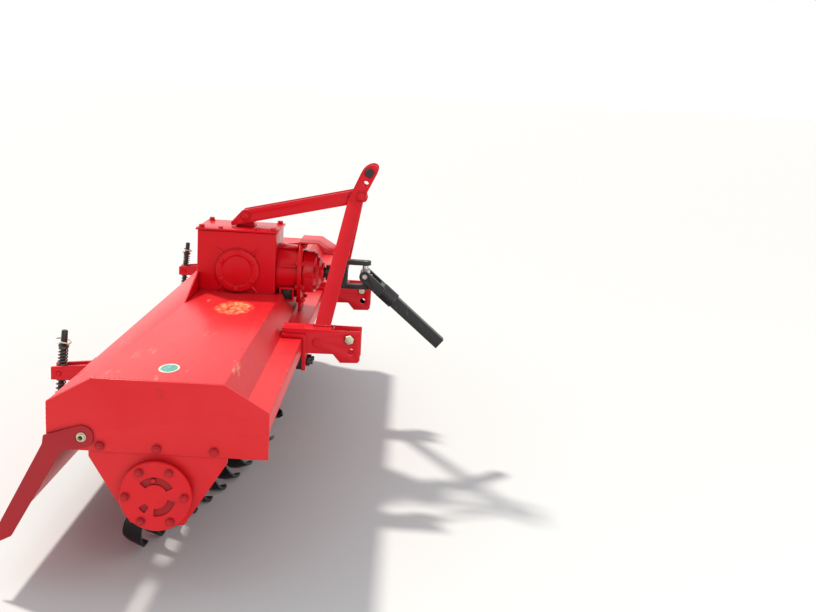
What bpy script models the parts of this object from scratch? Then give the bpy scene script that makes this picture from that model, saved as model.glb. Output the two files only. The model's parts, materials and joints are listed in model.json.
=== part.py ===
"""Rotary tiller for a tractor's three-point hitch, middle-driven, 2.3 m wide.

Metres, +X the machine's right, +Y forward to the tractor, +Z up.  The origin is at the
middle of the machine on the ground.  Inside the script every place is given from the
rotor's axis, which an empty carries at its height above the ground.
"""
import math

import bmesh
import bpy
from mathutils import Matrix, Vector

# ---- driving dimensions ----------------------------------------------------------
HALF_WIDTH = 1.160          # to the outer face of an end plate
GAP = 0.0003                # between pieces that touch
RUN = 0.0005                # radial clearance of a shaft in its hole
SEGMENTS = 24               # sides of a round piece

# hood and its ends
SHEET = 0.004               # hood sheet
END_PLATE = 0.006
HOOD_TOP = 0.270            # above the rotor axis
HOOD_SIDE = 0.2085          # height of the hood's lower folds
HOOD_FLAT_REAR = -0.152
HOOD_FLAT_FRONT = 0.150
HOOD_SLOPE_FRONT = 0.190
HOOD_HALF_DEPTH = 0.2555
HOOD_REAR_EDGE = 0.150      # lower edge of the rear panel
END_PLATE_BOTTOM = 0.096
BEAM = 0.045                # square front beam
BEAM_WALL = 0.005

# bearing ends
BEARING_PLATE = 0.010
BEARING_TOP = 0.150
BEARING_HALF = 0.160
BEARING_KNEE = 0.081
BEARING_FOOT_HALF = 0.063
BEARING_FOOT = -0.077
COVER_RADIUS = 0.084
COVER_HUB_RADIUS = 0.066
COVER_STAND_OFF = 0.012
COVER_FLANGE = 0.014
JOURNAL_RADIUS = 0.025

# rotor
TUBE_RADIUS = 0.042
SLEEVE_RADIUS = 0.050       # sleeve that carries two discs on the tube
SLEEVE_PAST_DISC = 0.020
DISC_RADIUS = 0.092
DISC_THICK = 0.008
OUTER_DISC = 0.970          # from the middle of the machine
DISC_PITCH = 0.088
DISCS_PER_SIDE = 10
DISCS_PER_GANG = 2
BLADES_PER_DISC = 2
BLADE_THICK = 0.008
BLADE_SEAT = 0.006          # blade's plane beside the disc's
BLADE_START = -35.0         # degrees, first blade of the outer disc
DISC_STEP = 6.0             # degrees from one disc to the next
# blade sections: radius, sideways, bend (degrees), lag (degrees), width
BLADE_SECTIONS = (
    (0.058, 0.000, 0.0, 0.0, 0.044),
    (0.172, 0.000, 0.0, 2.0, 0.046),
    (0.222, 0.004, 25.0, 6.0, 0.054),
    (0.2445, 0.020, 62.0, 10.0, 0.050),
    (0.2505, 0.056, 82.0, 14.0, 0.022),
)

# gearbox and the case below it
GEARBOX_HALF_WIDTH = 0.103
GEARBOX_REAR = -0.122
GEARBOX_FRONT = 0.1295
GEARBOX_TOP = 0.468
LID_THICK = 0.0067
LID_OVERHANG = 0.0055
SIDE_COVER_RADIUS = 0.0705
SIDE_COVER_AT = (0.0085, 0.343)
SIDE_COVER_THICK = 0.014
GUSSET_THICK = 0.006
GUSSET_REACH = 0.300
GUSSET_HEIGHT = 0.062
CASE_HALF_WIDTH = 0.050
CASE_RADIUS = 0.098
CASE_BOSS = 0.012
CASE_BOSS_RADIUS = 0.056
HUB_GAP = 0.0045            # between the case boss and the rotor tube
STUB_DEPTH = 0.018
SHARE_THICK = 0.016

# input side
INPUT_HEIGHT = 0.334
BELL_RADIUS = 0.090
BELL_FRONT = 0.200
FLANGE_RADIUS = 0.105
FLANGE_THICK = 0.012
DRUM_RADIUS = 0.070
DRUM_FRONT = 0.254
NOSE_RADIUS = 0.030
NOSE_FRONT = 0.2805
SHAFT_RADIUS = 0.0175
SHAFT_SEAT = 0.012
SHIELD_THICK = 0.003
SHIELD_HALF_WIDTH = 0.087
YOKE_HUB_RADIUS = 0.026
YOKE_HUB_REAR = 0.2865
CROSS_Y = 0.416
EAR_INNER = 0.033
EAR_OUTER = 0.047
EAR_HALF = 0.018
YOKE_BASE_NEAR = 0.0575
YOKE_BASE_FAR = 0.077
TRUNNION_RADIUS = 0.010
DROOP = 40.0                # degrees, the drive shaft hangs on its yoke's stop
DRIVE_HUB_END = 0.130
DRIVE_TUBE = 0.038
DRIVE_LENGTH = 0.340

# hitch
BRACKET_X = 0.380
CLEVIS_GAP = 0.058
BRACKET_PLATE = 0.008
BRACKET_TOP = 0.236
BRACKET_REAR = 0.1915
BRACKET_FRONT = 0.4265
SADDLE = 0.012
SADDLE_HALF = 0.047
SADDLE_FOOT = 0.112
PIN_AT = (0.3936, 0.2118)
PIN_RADIUS = 0.011
SECOND_HOLE_AT = (0.3994, 0.1731)
SECOND_HOLE_RADIUS = 0.0105
CLAMP_BOLT_RADIUS = 0.007
CLAMP_BOLT_HEIGHT = 0.133
CLAMP_BOLT_HALF = 0.022

# mast and brace
MAST_INNER = 0.036
MAST_PLATE = 0.010
MAST_HALF_DEPTH = 0.024
MAST_HEAD_RADIUS = 0.026
LEG_FOOT = (0.360, 0.309)
MAST_KNEE = (0.585, 0.3745)  # height, forward
TOP_PIN_AT = (0.4149, 0.674)
TOP_PIN_RADIUS = 0.0095
MAST_SPARE_AT = (0.4052, 0.638)
BRACE_FRONT = (0.3907, 0.5976)
BRACE_REAR = (0.0193, 0.5096)
BRACE_HALF = 0.0215
BRACE_THICK = 0.010
BRACE_BOLT_RADIUS = 0.008

# trailing board and its spring rods
BOARD_HINGE = (-0.172, 0.131)
BOARD_SHEET = 0.004
BOARD_TOP = (-0.2228, 0.088)
BOARD_FOOT = (-0.337, -0.121)
BOARD_END_SLOPE = 28.0      # degrees, cut across the lower end of the arm
BOARD_RIB = 0.036           # width of the arm beside the board
BOARD_RECESS = 0.0265       # board's face behind the arm's front edge
BOARD_ARM_THICK = 0.008
BOARD_ARM_RADIUS = 0.027
BOARD_SWEEP_CLEAR = 0.0065
HINGE_PIN_RADIUS = 0.007
ROD_X = 0.780
COLLAR_AT = (-0.340, 0.172)
ROD_EYE_AT = (-0.354, -0.005)
ROD_RADIUS = 0.0075
ROD_ABOVE_COLLAR = 0.112
SPRING_RADIUS = 0.013
COLLAR_HALF = 0.0145
BRACKET_ARM_THICK = 0.008
EYE_RADIUS = 0.017
EYE_BORE = 0.0115
SPRING_SEAT = 0.026         # from the eye to the lower spring's seat
SPRING_SEAT_THICK = 0.008
LUG_PIN_RADIUS = 0.006
LUG_THICK = 0.008

SIDES = (("right", 1), ("left", -1))
PLATE_INNER = HALF_WIDTH - END_PLATE - GAP      # where the hood and beam end
BEAM_TOP = HOOD_SIDE - SHEET - GAP
BEAM_FRONT = HOOD_HALF_DEPTH - 0.001
BEAM_REAR = BEAM_FRONT - BEAM
BEAM_BOTTOM = BEAM_TOP - BEAM

RED = (0.62, 0.020, 0.030)
DEEP_RED = (0.55, 0.008, 0.022)
BLACK = (0.022, 0.021, 0.022)
ZINC = (0.60, 0.58, 0.50)
STEEL = (0.38, 0.37, 0.36)

for old in list(bpy.data.objects):
    bpy.data.objects.remove(old, do_unlink=True)


# ---- making shapes ---------------------------------------------------------------
def material(name, colour, roughness=0.4, metallic=0.0):
    mat = bpy.data.materials.new(name)
    mat.use_nodes = True
    shader = mat.node_tree.nodes["Principled BSDF"]
    shader.inputs["Base Color"].default_value = (*colour, 1.0)
    shader.inputs["Roughness"].default_value = roughness
    shader.inputs["Metallic"].default_value = metallic
    return mat


def empty(name, parent, place):
    obj = bpy.data.objects.new(name, None)
    bpy.context.scene.collection.objects.link(obj)
    obj.parent = parent
    obj.location = place
    return obj


def carrier_place(carrier):
    """Where a carrier empty lies from the rotor's axis."""
    place = Vector((0, 0, 0))
    while carrier is not None and carrier.parent is not None:
        place += carrier.location
        carrier = carrier.parent
    return place


def shape(name, bm, mat, carrier):
    """Turns a bmesh, given from the rotor's axis, into an object on its carrier."""
    bmesh.ops.translate(bm, vec=-carrier_place(carrier), verts=bm.verts)
    bmesh.ops.recalc_face_normals(bm, faces=bm.faces)
    mesh = bpy.data.meshes.new(name)
    bm.to_mesh(mesh)
    bm.free()
    mesh.shade_smooth()
    mesh.set_sharp_from_angle(angle=math.radians(35))
    if mat is not None:
        mesh.materials.append(mat)
    obj = bpy.data.objects.new(name, mesh)
    bpy.context.scene.collection.objects.link(obj)
    obj.parent = carrier
    return obj


def combine(obj, operation, bm):
    """Joins or cuts an object with a bmesh given from the rotor's axis."""
    tool = shape(obj.name + "_tool", bm, None, obj.parent)
    tool.hide_render = True
    tool.display_type = "WIRE"
    step = obj.modifiers.new(operation.title(), "BOOLEAN")
    step.operation = operation
    step.object = tool


def join(obj, *pieces):
    for bm in pieces:
        combine(obj, "UNION", bm)


def cut(obj, *pieces):
    for bm in pieces:
        combine(obj, "DIFFERENCE", bm)


def prism(outline, low, high, turn=None):
    """Extrudes a (y, z) outline along X; turn moves the result."""
    bm = bmesh.new()
    face = bm.faces.new([bm.verts.new((low, y, z)) for y, z in outline])
    grown = bmesh.ops.extrude_face_region(bm, geom=[face])
    moved = [item for item in grown["geom"] if isinstance(item, bmesh.types.BMVert)]
    bmesh.ops.translate(bm, vec=(high - low, 0, 0), verts=moved)
    if turn is not None:
        bmesh.ops.transform(bm, matrix=turn, verts=bm.verts)
    return bm


def box(low, high):
    outline = ((low[1], low[2]), (high[1], low[2]), (high[1], high[2]), (low[1], high[2]))
    return prism(outline, low[0], high[0])


def turned(profile, axis, centre, closed=False, segments=SEGMENTS):
    """Spins a profile of (along, radius) about an axis, 'X', 'Y' or 'Z', at a centre."""
    bm = bmesh.new()
    verts = [bm.verts.new((radius, 0, along)) for along, radius in profile]
    pairs = list(zip(verts, verts[1:]))
    if closed:
        pairs.append((verts[-1], verts[0]))
    edges = [bm.edges.new(pair) for pair in pairs]
    bmesh.ops.spin(bm, geom=verts + edges, cent=(0, 0, 0), axis=(0, 0, 1),
                   angle=math.tau, steps=segments, use_merge=True)
    bmesh.ops.remove_doubles(bm, verts=bm.verts, dist=1e-6)
    turns = {"X": Matrix.Rotation(math.pi / 2, 4, "Y"),
             "Y": Matrix.Rotation(-math.pi / 2, 4, "X"),
             "Z": Matrix.Identity(4)}
    bmesh.ops.transform(bm, matrix=Matrix.Translation(centre) @ turns[axis], verts=bm.verts)
    return bm


def rod(low, high, radius, axis, centre, segments=SEGMENTS):
    return turned(((low, 0), (low, radius), (high, radius), (high, 0)), axis, centre,
                  segments=segments)


def ring(low, high, inner, outer, axis, centre, segments=SEGMENTS):
    return turned(((low, inner), (low, outer), (high, outer), (high, inner)), axis, centre,
                  closed=True, segments=segments)


def stack(sections):
    """Lofts level rectangles of (x, y, z, half_x, half_y) up a leaning bar."""
    bm = bmesh.new()
    loops = []
    for x, y, z, half_x, half_y in sections:
        corners = ((x - half_x, y - half_y), (x + half_x, y - half_y),
                   (x + half_x, y + half_y), (x - half_x, y + half_y))
        loops.append([bm.verts.new((cx, cy, z)) for cx, cy in corners])
    skin(bm, loops)
    return bm


def skin(bm, loops):
    """Covers a row of equal loops and closes both ends."""
    for lower, upper in zip(loops, loops[1:]):
        count = len(lower)
        for i in range(count):
            k = (i + 1) % count
            bm.faces.new((lower[i], lower[k], upper[k], upper[i]))
    bm.faces.new(loops[0][::-1])
    bm.faces.new(loops[-1])


def mirrored(bm, sign):
    """Gives the left side's copy when sign is -1."""
    if sign < 0:
        bmesh.ops.scale(bm, vec=(-1, 1, 1), verts=bm.verts)
    return bm


def offset_line(points, distance):
    """Moves an open (y, z) line sideways to its right by a distance, mitring its folds."""
    normals = []
    for (y0, z0), (y1, z1) in zip(points, points[1:]):
        length = math.hypot(y1 - y0, z1 - z0)
        normals.append(((z1 - z0) / length, -(y1 - y0) / length))
    moved = []
    for i, (y, z) in enumerate(points):
        before = normals[max(i - 1, 0)]
        after = normals[min(i, len(normals) - 1)]
        mitre = 1 + before[0] * after[0] + before[1] * after[1]
        moved.append((y + distance * (before[0] + after[0]) / mitre,
                      z + distance * (before[1] + after[1]) / mitre))
    return moved


def folded(points, thickness, low, high):
    """A folded sheet: the line's own side is one face, the other lies to its right."""
    return prism(list(points) + offset_line(points, thickness)[::-1], low, high)


def arc(centre, radius, start, end, steps):
    """Points on an arc, in degrees from +Y towards +Z."""
    angles = [math.radians(start + (end - start) * i / steps) for i in range(steps + 1)]
    return [(centre[0] + radius * math.cos(a), centre[1] + radius * math.sin(a)) for a in angles]


def along(start, slope, distance):
    """A point at a distance from a start, along a slope in degrees from +Y."""
    angle = math.radians(slope)
    return (start[0] + distance * math.cos(angle), start[1] + distance * math.sin(angle))


# ---- one blade, and how high the rotor stands on its tips --------------------------
def blade_corners(angle, side):
    """Corner loops of a blade at an angle (degrees) forward from straight down."""
    loops = []
    for radius, sideways, bend, lag, width in BLADE_SECTIONS:
        turn = math.radians(angle + lag)
        out = Vector((0, math.sin(turn), -math.cos(turn)))
        across = Vector((0, math.cos(turn), math.sin(turn)))
        lean = math.radians(bend)
        thick = Vector((side * math.cos(lean), 0, 0)) - out * math.sin(lean)
        middle = Vector((side * (BLADE_SEAT + sideways), 0, 0)) + out * radius
        loops.append([middle + across * (width / 2 * a) + thick * (BLADE_THICK / 2 * t)
                      for a, t in ((-1, -1), (1, -1), (1, 1), (-1, 1))])
    return loops


def blade_table():
    """(disc, angle, side) of every blade on the right half, from the outer disc inwards."""
    rows = []
    for disc in range(DISCS_PER_SIDE):
        for blade in range(BLADES_PER_DISC):
            angle = BLADE_START + disc * DISC_STEP + blade * 360 / BLADES_PER_DISC
            rows.append((disc, angle, 1 if blade % 2 else -1))
    return rows


AXIS_HEIGHT = -min(corner.z for disc, angle, side in blade_table()
                   for loop in blade_corners(angle, side) for corner in loop)

DRIVE_TIP = along((CROSS_Y, INPUT_HEIGHT), -DROOP, DRIVE_LENGTH)
BOARD_SLOPE = math.degrees(math.atan2(BOARD_FOOT[1] - BOARD_TOP[1], BOARD_FOOT[0] - BOARD_TOP[0]))
END_CUT = math.radians(BOARD_SLOPE % 360 - 180 - BOARD_END_SLOPE)
BOARD_TAIL = along(BOARD_FOOT, 180 + BOARD_END_SLOPE, BOARD_RIB / math.sin(END_CUT))
FRONT_END = DRIVE_TIP[0] + DRIVE_TUBE / 2 * math.sin(math.radians(DROOP))
REAR_END = BOARD_TAIL[0]

MACHINE = empty("machine", None, (0, -(FRONT_END + REAR_END) / 2, AXIS_HEIGHT))

PAINT = material("red_paint", RED)
CASTING = material("deep_red_casting", DEEP_RED, 0.35)
DARK = material("black_paint", BLACK, 0.45)
PLATED = material("zinc_plate", ZINC, 0.35, 0.9)
BARE = material("bare_steel", STEEL, 0.4, 0.9)

HOOD_LINE = (
    (-HOOD_HALF_DEPTH, HOOD_REAR_EDGE),
    (-HOOD_HALF_DEPTH, HOOD_SIDE),
    (HOOD_FLAT_REAR, HOOD_TOP),
    (HOOD_FLAT_FRONT, HOOD_TOP),
    (HOOD_SLOPE_FRONT, HOOD_SIDE),
    (BEAM_FRONT, HOOD_SIDE),
)


# ---- hood, beam and bearing ends ---------------------------------------------------
def build_hood():
    hood = shape("hood", folded(HOOD_LINE, SHEET, -PLATE_INNER, PLATE_INNER), PAINT, MACHINE)
    room = 0.004
    cut(hood, box((-CASE_HALF_WIDTH - room, -CASE_RADIUS - room, HOOD_TOP - 0.02),
                  (CASE_HALF_WIDTH + room, CASE_RADIUS + room, HOOD_TOP + 0.02)))


def build_ends():
    outline = (
        (-HOOD_HALF_DEPTH, END_PLATE_BOTTOM),
        (HOOD_HALF_DEPTH, END_PLATE_BOTTOM),
        (HOOD_HALF_DEPTH, HOOD_SIDE),
        (-HOOD_FLAT_REAR, HOOD_TOP),
        (HOOD_FLAT_REAR, HOOD_TOP),
        (-HOOD_HALF_DEPTH, HOOD_SIDE),
    )
    lower = (
        (-BEARING_HALF, BEARING_TOP),
        (-BEARING_HALF, BEARING_KNEE),
        (-BEARING_FOOT_HALF, BEARING_FOOT),
        (BEARING_FOOT_HALF, BEARING_FOOT),
        (BEARING_HALF, BEARING_KNEE),
        (BEARING_HALF, BEARING_TOP),
    )
    plate_face = PLATE_INNER
    step = COVER_STAND_OFF
    full = COVER_STAND_OFF + COVER_FLANGE
    cover = ((0, 0), (0, COVER_HUB_RADIUS), (step, COVER_HUB_RADIUS), (step, COVER_RADIUS),
             (full, COVER_RADIUS), (full, 0))
    for name, sign in SIDES:
        plate = shape("end_plate_" + name,
                      mirrored(prism(outline, HALF_WIDTH - END_PLATE, HALF_WIDTH), sign), PAINT, MACHINE)
        join(plate, mirrored(rod(HALF_WIDTH - END_PLATE / 2, HALF_WIDTH + BOARD_ARM_THICK + 0.002,
                                 HINGE_PIN_RADIUS, "X", (0, *BOARD_HINGE), 16), sign))
        bearing = shape("bearing_plate_" + name,
                        mirrored(prism(lower, plate_face - BEARING_PLATE, plate_face), sign),
                        PAINT, MACHINE)
        cut(bearing, mirrored(rod(plate_face - 0.02, plate_face + 0.01, JOURNAL_RADIUS + RUN,
                                  "X", (0, 0, 0)), sign))
        shape("bearing_cover_" + name,
              mirrored(turned(cover, "X", (plate_face + GAP, 0, 0)), sign), PAINT, MACHINE)


def build_beam():
    beam = shape("front_beam", box((-PLATE_INNER, BEAM_REAR, BEAM_BOTTOM),
                                   (PLATE_INNER, BEAM_FRONT, BEAM_TOP)), PAINT, MACHINE)
    cut(beam, box((-HALF_WIDTH, BEAM_REAR + BEAM_WALL, BEAM_BOTTOM + BEAM_WALL),
                  (HALF_WIDTH, BEAM_FRONT - BEAM_WALL, BEAM_TOP - BEAM_WALL)))


# ---- gearbox, lower case and share -------------------------------------------------
def build_gearbox():
    base = HOOD_TOP + GAP
    shape("gearbox_case", box((-GEARBOX_HALF_WIDTH, GEARBOX_REAR, base),
                              (GEARBOX_HALF_WIDTH, GEARBOX_FRONT, GEARBOX_TOP)), CASTING, MACHINE)
    lid_low = GEARBOX_TOP + GAP
    half = GEARBOX_HALF_WIDTH + LID_OVERHANG
    shape("gearbox_lid", box((-half, GEARBOX_REAR - LID_OVERHANG, lid_low),
                             (half, GEARBOX_FRONT + LID_OVERHANG, lid_low + LID_THICK)),
          CASTING, MACHINE)
    thick = SIDE_COVER_THICK
    radius = SIDE_COVER_RADIUS
    profile = ((0, 0), (0, radius), (thick - 0.004, radius), (thick, radius - 0.008),
               (thick, radius * 0.68), (thick - 0.004, radius * 0.66), (thick - 0.004, 0))
    gusset = ((0, 0), (GUSSET_REACH - GEARBOX_HALF_WIDTH, 0), (0, GUSSET_HEIGHT))
    for name, sign in SIDES:
        face = GEARBOX_HALF_WIDTH + GAP
        shape("gearbox_side_cover_" + name,
              mirrored(turned(profile, "X", (face, *SIDE_COVER_AT)), sign), CASTING, MACHINE)
        bm = bmesh.new()
        rear = [bm.verts.new((face + x, GEARBOX_REAR, base + z)) for x, z in gusset]
        front = [bm.verts.new((face + x, GEARBOX_REAR + GUSSET_THICK, base + z)) for x, z in gusset]
        skin(bm, (rear, front))
        shape("gearbox_gusset_" + name, mirrored(bm, sign), CASTING, MACHINE)


def build_lower_case():
    top = HOOD_TOP
    outline = [(-CASE_RADIUS, top), *arc((0, 0), CASE_RADIUS, 180, 360, 14), (CASE_RADIUS, top)]
    case = shape("lower_gear_case", prism(outline, -CASE_HALF_WIDTH, CASE_HALF_WIDTH),
                 CASTING, MACHINE)
    edge = CASE_HALF_WIDTH + CASE_BOSS
    for sign in (1, -1):
        join(case, mirrored(rod(CASE_HALF_WIDTH - 0.005, edge, CASE_BOSS_RADIUS, "X", (0, 0, 0)), sign))
    for sign in (1, -1):
        cut(case, mirrored(rod(edge - STUB_DEPTH, edge + 0.01, JOURNAL_RADIUS + RUN, "X", (0, 0, 0)),
                           sign))
    reach = CASE_RADIUS + 0.0006
    share = (
        *arc((0, 0), reach, 2, -52, 5),
        (0.052, -AXIS_HEIGHT + 0.030),
        (0.058, -AXIS_HEIGHT),
        (0.104, -AXIS_HEIGHT),
        (0.098, -AXIS_HEIGHT + 0.016),
        (0.098, -0.150),
        (0.122, -0.070),
        (0.122, 0.0034),
    )
    shape("centre_share", prism(share, -SHARE_THICK / 2, SHARE_THICK / 2), DARK, MACHINE)


# ---- input bell, nose and shield ---------------------------------------------------
def build_input():
    centre = (0, 0, INPUT_HEIGHT)
    rear = GEARBOX_FRONT + GAP
    flange_front = BELL_FRONT + FLANGE_THICK
    bell = shape("input_bell", turned(
        ((rear, 0), (rear, BELL_RADIUS), (BELL_FRONT, BELL_RADIUS - 0.004),
         (BELL_FRONT, FLANGE_RADIUS), (flange_front, FLANGE_RADIUS), (flange_front, 0)),
        "Y", centre, segments=32), CASTING, MACHINE)
    join(bell, box((-0.050, BELL_FRONT + 0.001, HOOD_SIDE + GAP),
                   (0.050, flange_front - 0.001, INPUT_HEIGHT - 0.06)))
    surface = offset_line(HOOD_LINE[2:], -GAP)
    under = [*surface, (BEAM_FRONT, 0.1), (HOOD_FLAT_REAR, 0.1)]
    cut(bell, prism(under, -0.2, 0.2))
    shape("input_nose", turned(
        ((flange_front + GAP, 0), (flange_front + GAP, DRUM_RADIUS), (DRUM_FRONT, DRUM_RADIUS),
         (DRUM_FRONT + 0.012, DRUM_RADIUS - 0.022), (NOSE_FRONT - 0.008, NOSE_RADIUS + 0.004),
         (NOSE_FRONT, NOSE_RADIUS), (NOSE_FRONT, SHAFT_RADIUS + RUN),
         (NOSE_FRONT - SHAFT_SEAT - 0.002, SHAFT_RADIUS + RUN), (NOSE_FRONT - SHAFT_SEAT - 0.002, 0)),
        "Y", centre), CASTING, MACHINE)
    low = INPUT_HEIGHT + FLANGE_RADIUS + GAP
    shield = ((BELL_FRONT, low + SHIELD_THICK), (0.2627, low + SHIELD_THICK), (0.330, 0.402))
    shape("pto_shield", folded(shield, SHIELD_THICK, -SHIELD_HALF_WIDTH, SHIELD_HALF_WIDTH),
          PAINT, MACHINE)


def fork(base_near, base_far, hub_far, hub_radius, lengthwise):
    """Pieces of a yoke whose ears point back from its hub, about the origin, hub to +Y."""
    half = EAR_HALF
    ear = [(base_far - 0.002, half), *arc((0, 0), half, 90, 270, 8), (base_far - 0.002, -half)]
    pieces = []
    for low, high in ((EAR_INNER, EAR_OUTER), (-EAR_OUTER, -EAR_INNER)):
        pieces.append(prism(ear, low, high))
    bar = box((-EAR_OUTER + 0.001, base_near, -half + 0.001), (EAR_OUTER - 0.001, base_far, half - 0.001))
    hub = rod(base_far - 0.004, hub_far, hub_radius, "Y", (0, 0, 0))
    bores = rod(-EAR_OUTER - 0.01, EAR_OUTER + 0.01, TRUNNION_RADIUS + RUN, "X", (0, 0, 0), 16)
    for bm in (*pieces, bar, hub, bores):
        bmesh.ops.transform(bm, matrix=lengthwise, verts=bm.verts)
    return pieces, bar, hub, bores


def build_drive(input_axis, cross_axis, shaft_axis):
    centre = Matrix.Translation((0, CROSS_Y, INPUT_HEIGHT))
    backward = centre @ Matrix.Rotation(math.pi, 4, "Z") @ Matrix.Rotation(math.pi / 2, 4, "Y")
    ears, bar, hub, bores = fork(YOKE_BASE_NEAR, YOKE_BASE_FAR, CROSS_Y - YOKE_HUB_REAR,
                                 YOKE_HUB_RADIUS, backward)
    yoke = shape("input_yoke", bar, DARK, input_axis)
    join(yoke, *ears, hub, rod(NOSE_FRONT - SHAFT_SEAT, YOKE_HUB_REAR + 0.01, SHAFT_RADIUS, "Y",
                               (0, 0, INPUT_HEIGHT)))
    cut(yoke, bores)
    place = (0, CROSS_Y, INPUT_HEIGHT)
    end = EAR_OUTER - 0.001
    cross = shape("universal_cross", rod(-end, end, TRUNNION_RADIUS, "Z", place, 16), BARE, cross_axis)
    join(cross, rod(-end, end, TRUNNION_RADIUS, "X", place, 16),
         box((-0.017, CROSS_Y - 0.017, INPUT_HEIGHT - 0.017), (0.017, CROSS_Y + 0.017, INPUT_HEIGHT + 0.017)))
    forward = centre @ Matrix.Rotation(math.radians(-DROOP), 4, "X")
    ears, bar, hub, bores = fork(YOKE_BASE_NEAR, YOKE_BASE_FAR, DRIVE_HUB_END, YOKE_HUB_RADIUS, forward)
    shaft = shape("drive_shaft", bar, DARK, shaft_axis)
    half = DRIVE_TUBE / 2
    tube = box((-half, DRIVE_HUB_END - 0.02, -half), (half, DRIVE_LENGTH, half))
    bmesh.ops.transform(tube, matrix=forward, verts=tube.verts)
    join(shaft, *ears, hub, tube)
    cut(shaft, bores)


# ---- hitch brackets, mast and brace ------------------------------------------------
def build_hitch():
    inner = CLEVIS_GAP / 2
    outer = inner + BRACKET_PLATE
    face = BEAM_FRONT + GAP
    seat = HOOD_SIDE + GAP
    plate = (
        (BRACKET_REAR, BRACKET_TOP),
        (BRACKET_REAR + 0.016, seat + 0.004),
        (face + 0.004, seat + 0.004),
        (face + 0.004, 0.1625),
        (0.346, 0.1644),
        (0.3684, 0.139),
        (0.4200, 0.141),
        (BRACKET_FRONT, 0.148),
        (BRACKET_FRONT, BRACKET_TOP),
    )
    corner = (face + SADDLE - 0.010, seat + SADDLE - 0.010)
    saddle = [(BRACKET_REAR, seat), (face, seat), (face, SADDLE_FOOT), (face + SADDLE, SADDLE_FOOT),
              *arc(corner, 0.010, 0, 90, 4), (BRACKET_REAR + 0.004, seat + SADDLE)]
    bolts = (-CLAMP_BOLT_HALF, CLAMP_BOLT_HALF)
    for name, sign in SIDES:
        x = BRACKET_X
        bracket = shape("hitch_bracket_" + name,
                        mirrored(prism(saddle, x - SADDLE_HALF, x + SADDLE_HALF), sign), PAINT, MACHINE)
        join(bracket,
             mirrored(prism(plate, x + inner, x + outer), sign),
             mirrored(prism(plate, x - outer, x - inner), sign),
             mirrored(box((x - inner - 0.001, BRACKET_REAR + 0.002, BRACKET_TOP - 0.009),
                          (x + inner + 0.001, 0.338, BRACKET_TOP - 0.0005)), sign))
        holes = [rod(x - 0.06, x + 0.06, PIN_RADIUS + RUN, "X", (0, *PIN_AT), 20),
                 rod(x - 0.06, x + 0.06, SECOND_HOLE_RADIUS, "X", (0, *SECOND_HOLE_AT), 16)]
        holes += [rod(face - 0.01, face + SADDLE + 0.01, CLAMP_BOLT_RADIUS + RUN, "Y",
                      (x + dx, 0, CLAMP_BOLT_HEIGHT), 12) for dx in bolts]
        cut(bracket, *[mirrored(bm, sign) for bm in holes])

        jaw = box((x - 0.036, BEAM_FRONT - 0.016, SADDLE_FOOT), (x + 0.036, face - GAP, BEAM_BOTTOM - GAP))
        clamp = shape("hitch_clamp_" + name, mirrored(jaw, sign), DARK, MACHINE)
        nut = face + SADDLE + GAP
        for dx in bolts:
            place = (x + dx, 0, CLAMP_BOLT_HEIGHT)
            join(clamp,
                 mirrored(rod(BEAM_FRONT - 0.008, nut + 0.020, CLAMP_BOLT_RADIUS, "Y", place, 12), sign),
                 mirrored(rod(nut, nut + 0.011, 0.0125, "Y", place, 6), sign))

        tail = x - outer - 0.010
        head = x + outer + GAP
        pin = shape("hitch_pin_" + name, mirrored(rod(tail, head + 0.002, PIN_RADIUS, "X",
                                                      (0, *PIN_AT), 20), sign), PLATED, MACHINE)
        join(pin, mirrored(rod(head, head + 0.011, 0.0172, "X", (0, *PIN_AT), 6), sign))


def build_mast():
    plate_x = MAST_INNER + MAST_PLATE / 2
    knee_z, knee_y = MAST_KNEE
    foot_z = BRACKET_TOP + GAP
    lean = math.atan2(LEG_FOOT[0] - plate_x, knee_z - foot_z)
    leg_half = MAST_PLATE / 2 / math.cos(lean)
    head_y, head_z = TOP_PIN_AT
    slope = (head_y - knee_y) / (head_z - knee_z)
    sections = [(LEG_FOOT[0], LEG_FOOT[1], foot_z, leg_half, MAST_HALF_DEPTH),
                (plate_x, knee_y, knee_z, MAST_PLATE / 2, MAST_HALF_DEPTH)]
    for step in range(6):
        rise = math.radians(step * 84 / 5)
        z = head_z + MAST_HEAD_RADIUS * math.sin(rise)
        sections.append((plate_x, head_y + slope * (z - head_z), z, MAST_PLATE / 2,
                         MAST_HEAD_RADIUS * math.cos(rise)))
    low = MAST_INNER - 0.005
    high = MAST_INNER + MAST_PLATE + 0.005
    for name, sign in SIDES:
        leg = shape("mast_leg_" + name, mirrored(stack(sections), sign), PAINT, MACHINE)
        holes = (rod(low, high, TOP_PIN_RADIUS + RUN, "X", (0, *TOP_PIN_AT), 16),
                 rod(low, high, TOP_PIN_RADIUS, "X", (0, *MAST_SPARE_AT), 16),
                 rod(low, high, BRACE_BOLT_RADIUS + RUN, "X", (0, *BRACE_FRONT), 16))
        cut(leg, *[mirrored(bm, sign) for bm in holes])
    end = MAST_INNER + MAST_PLATE + GAP
    pin = shape("top_link_pin", rod(-end - 0.016, end + 0.002, TOP_PIN_RADIUS, "X",
                                    (0, *TOP_PIN_AT), 16), DARK, MACHINE)
    join(pin, rod(end, end + 0.008, 0.0135, "X", (0, *TOP_PIN_AT), 16))


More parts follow.
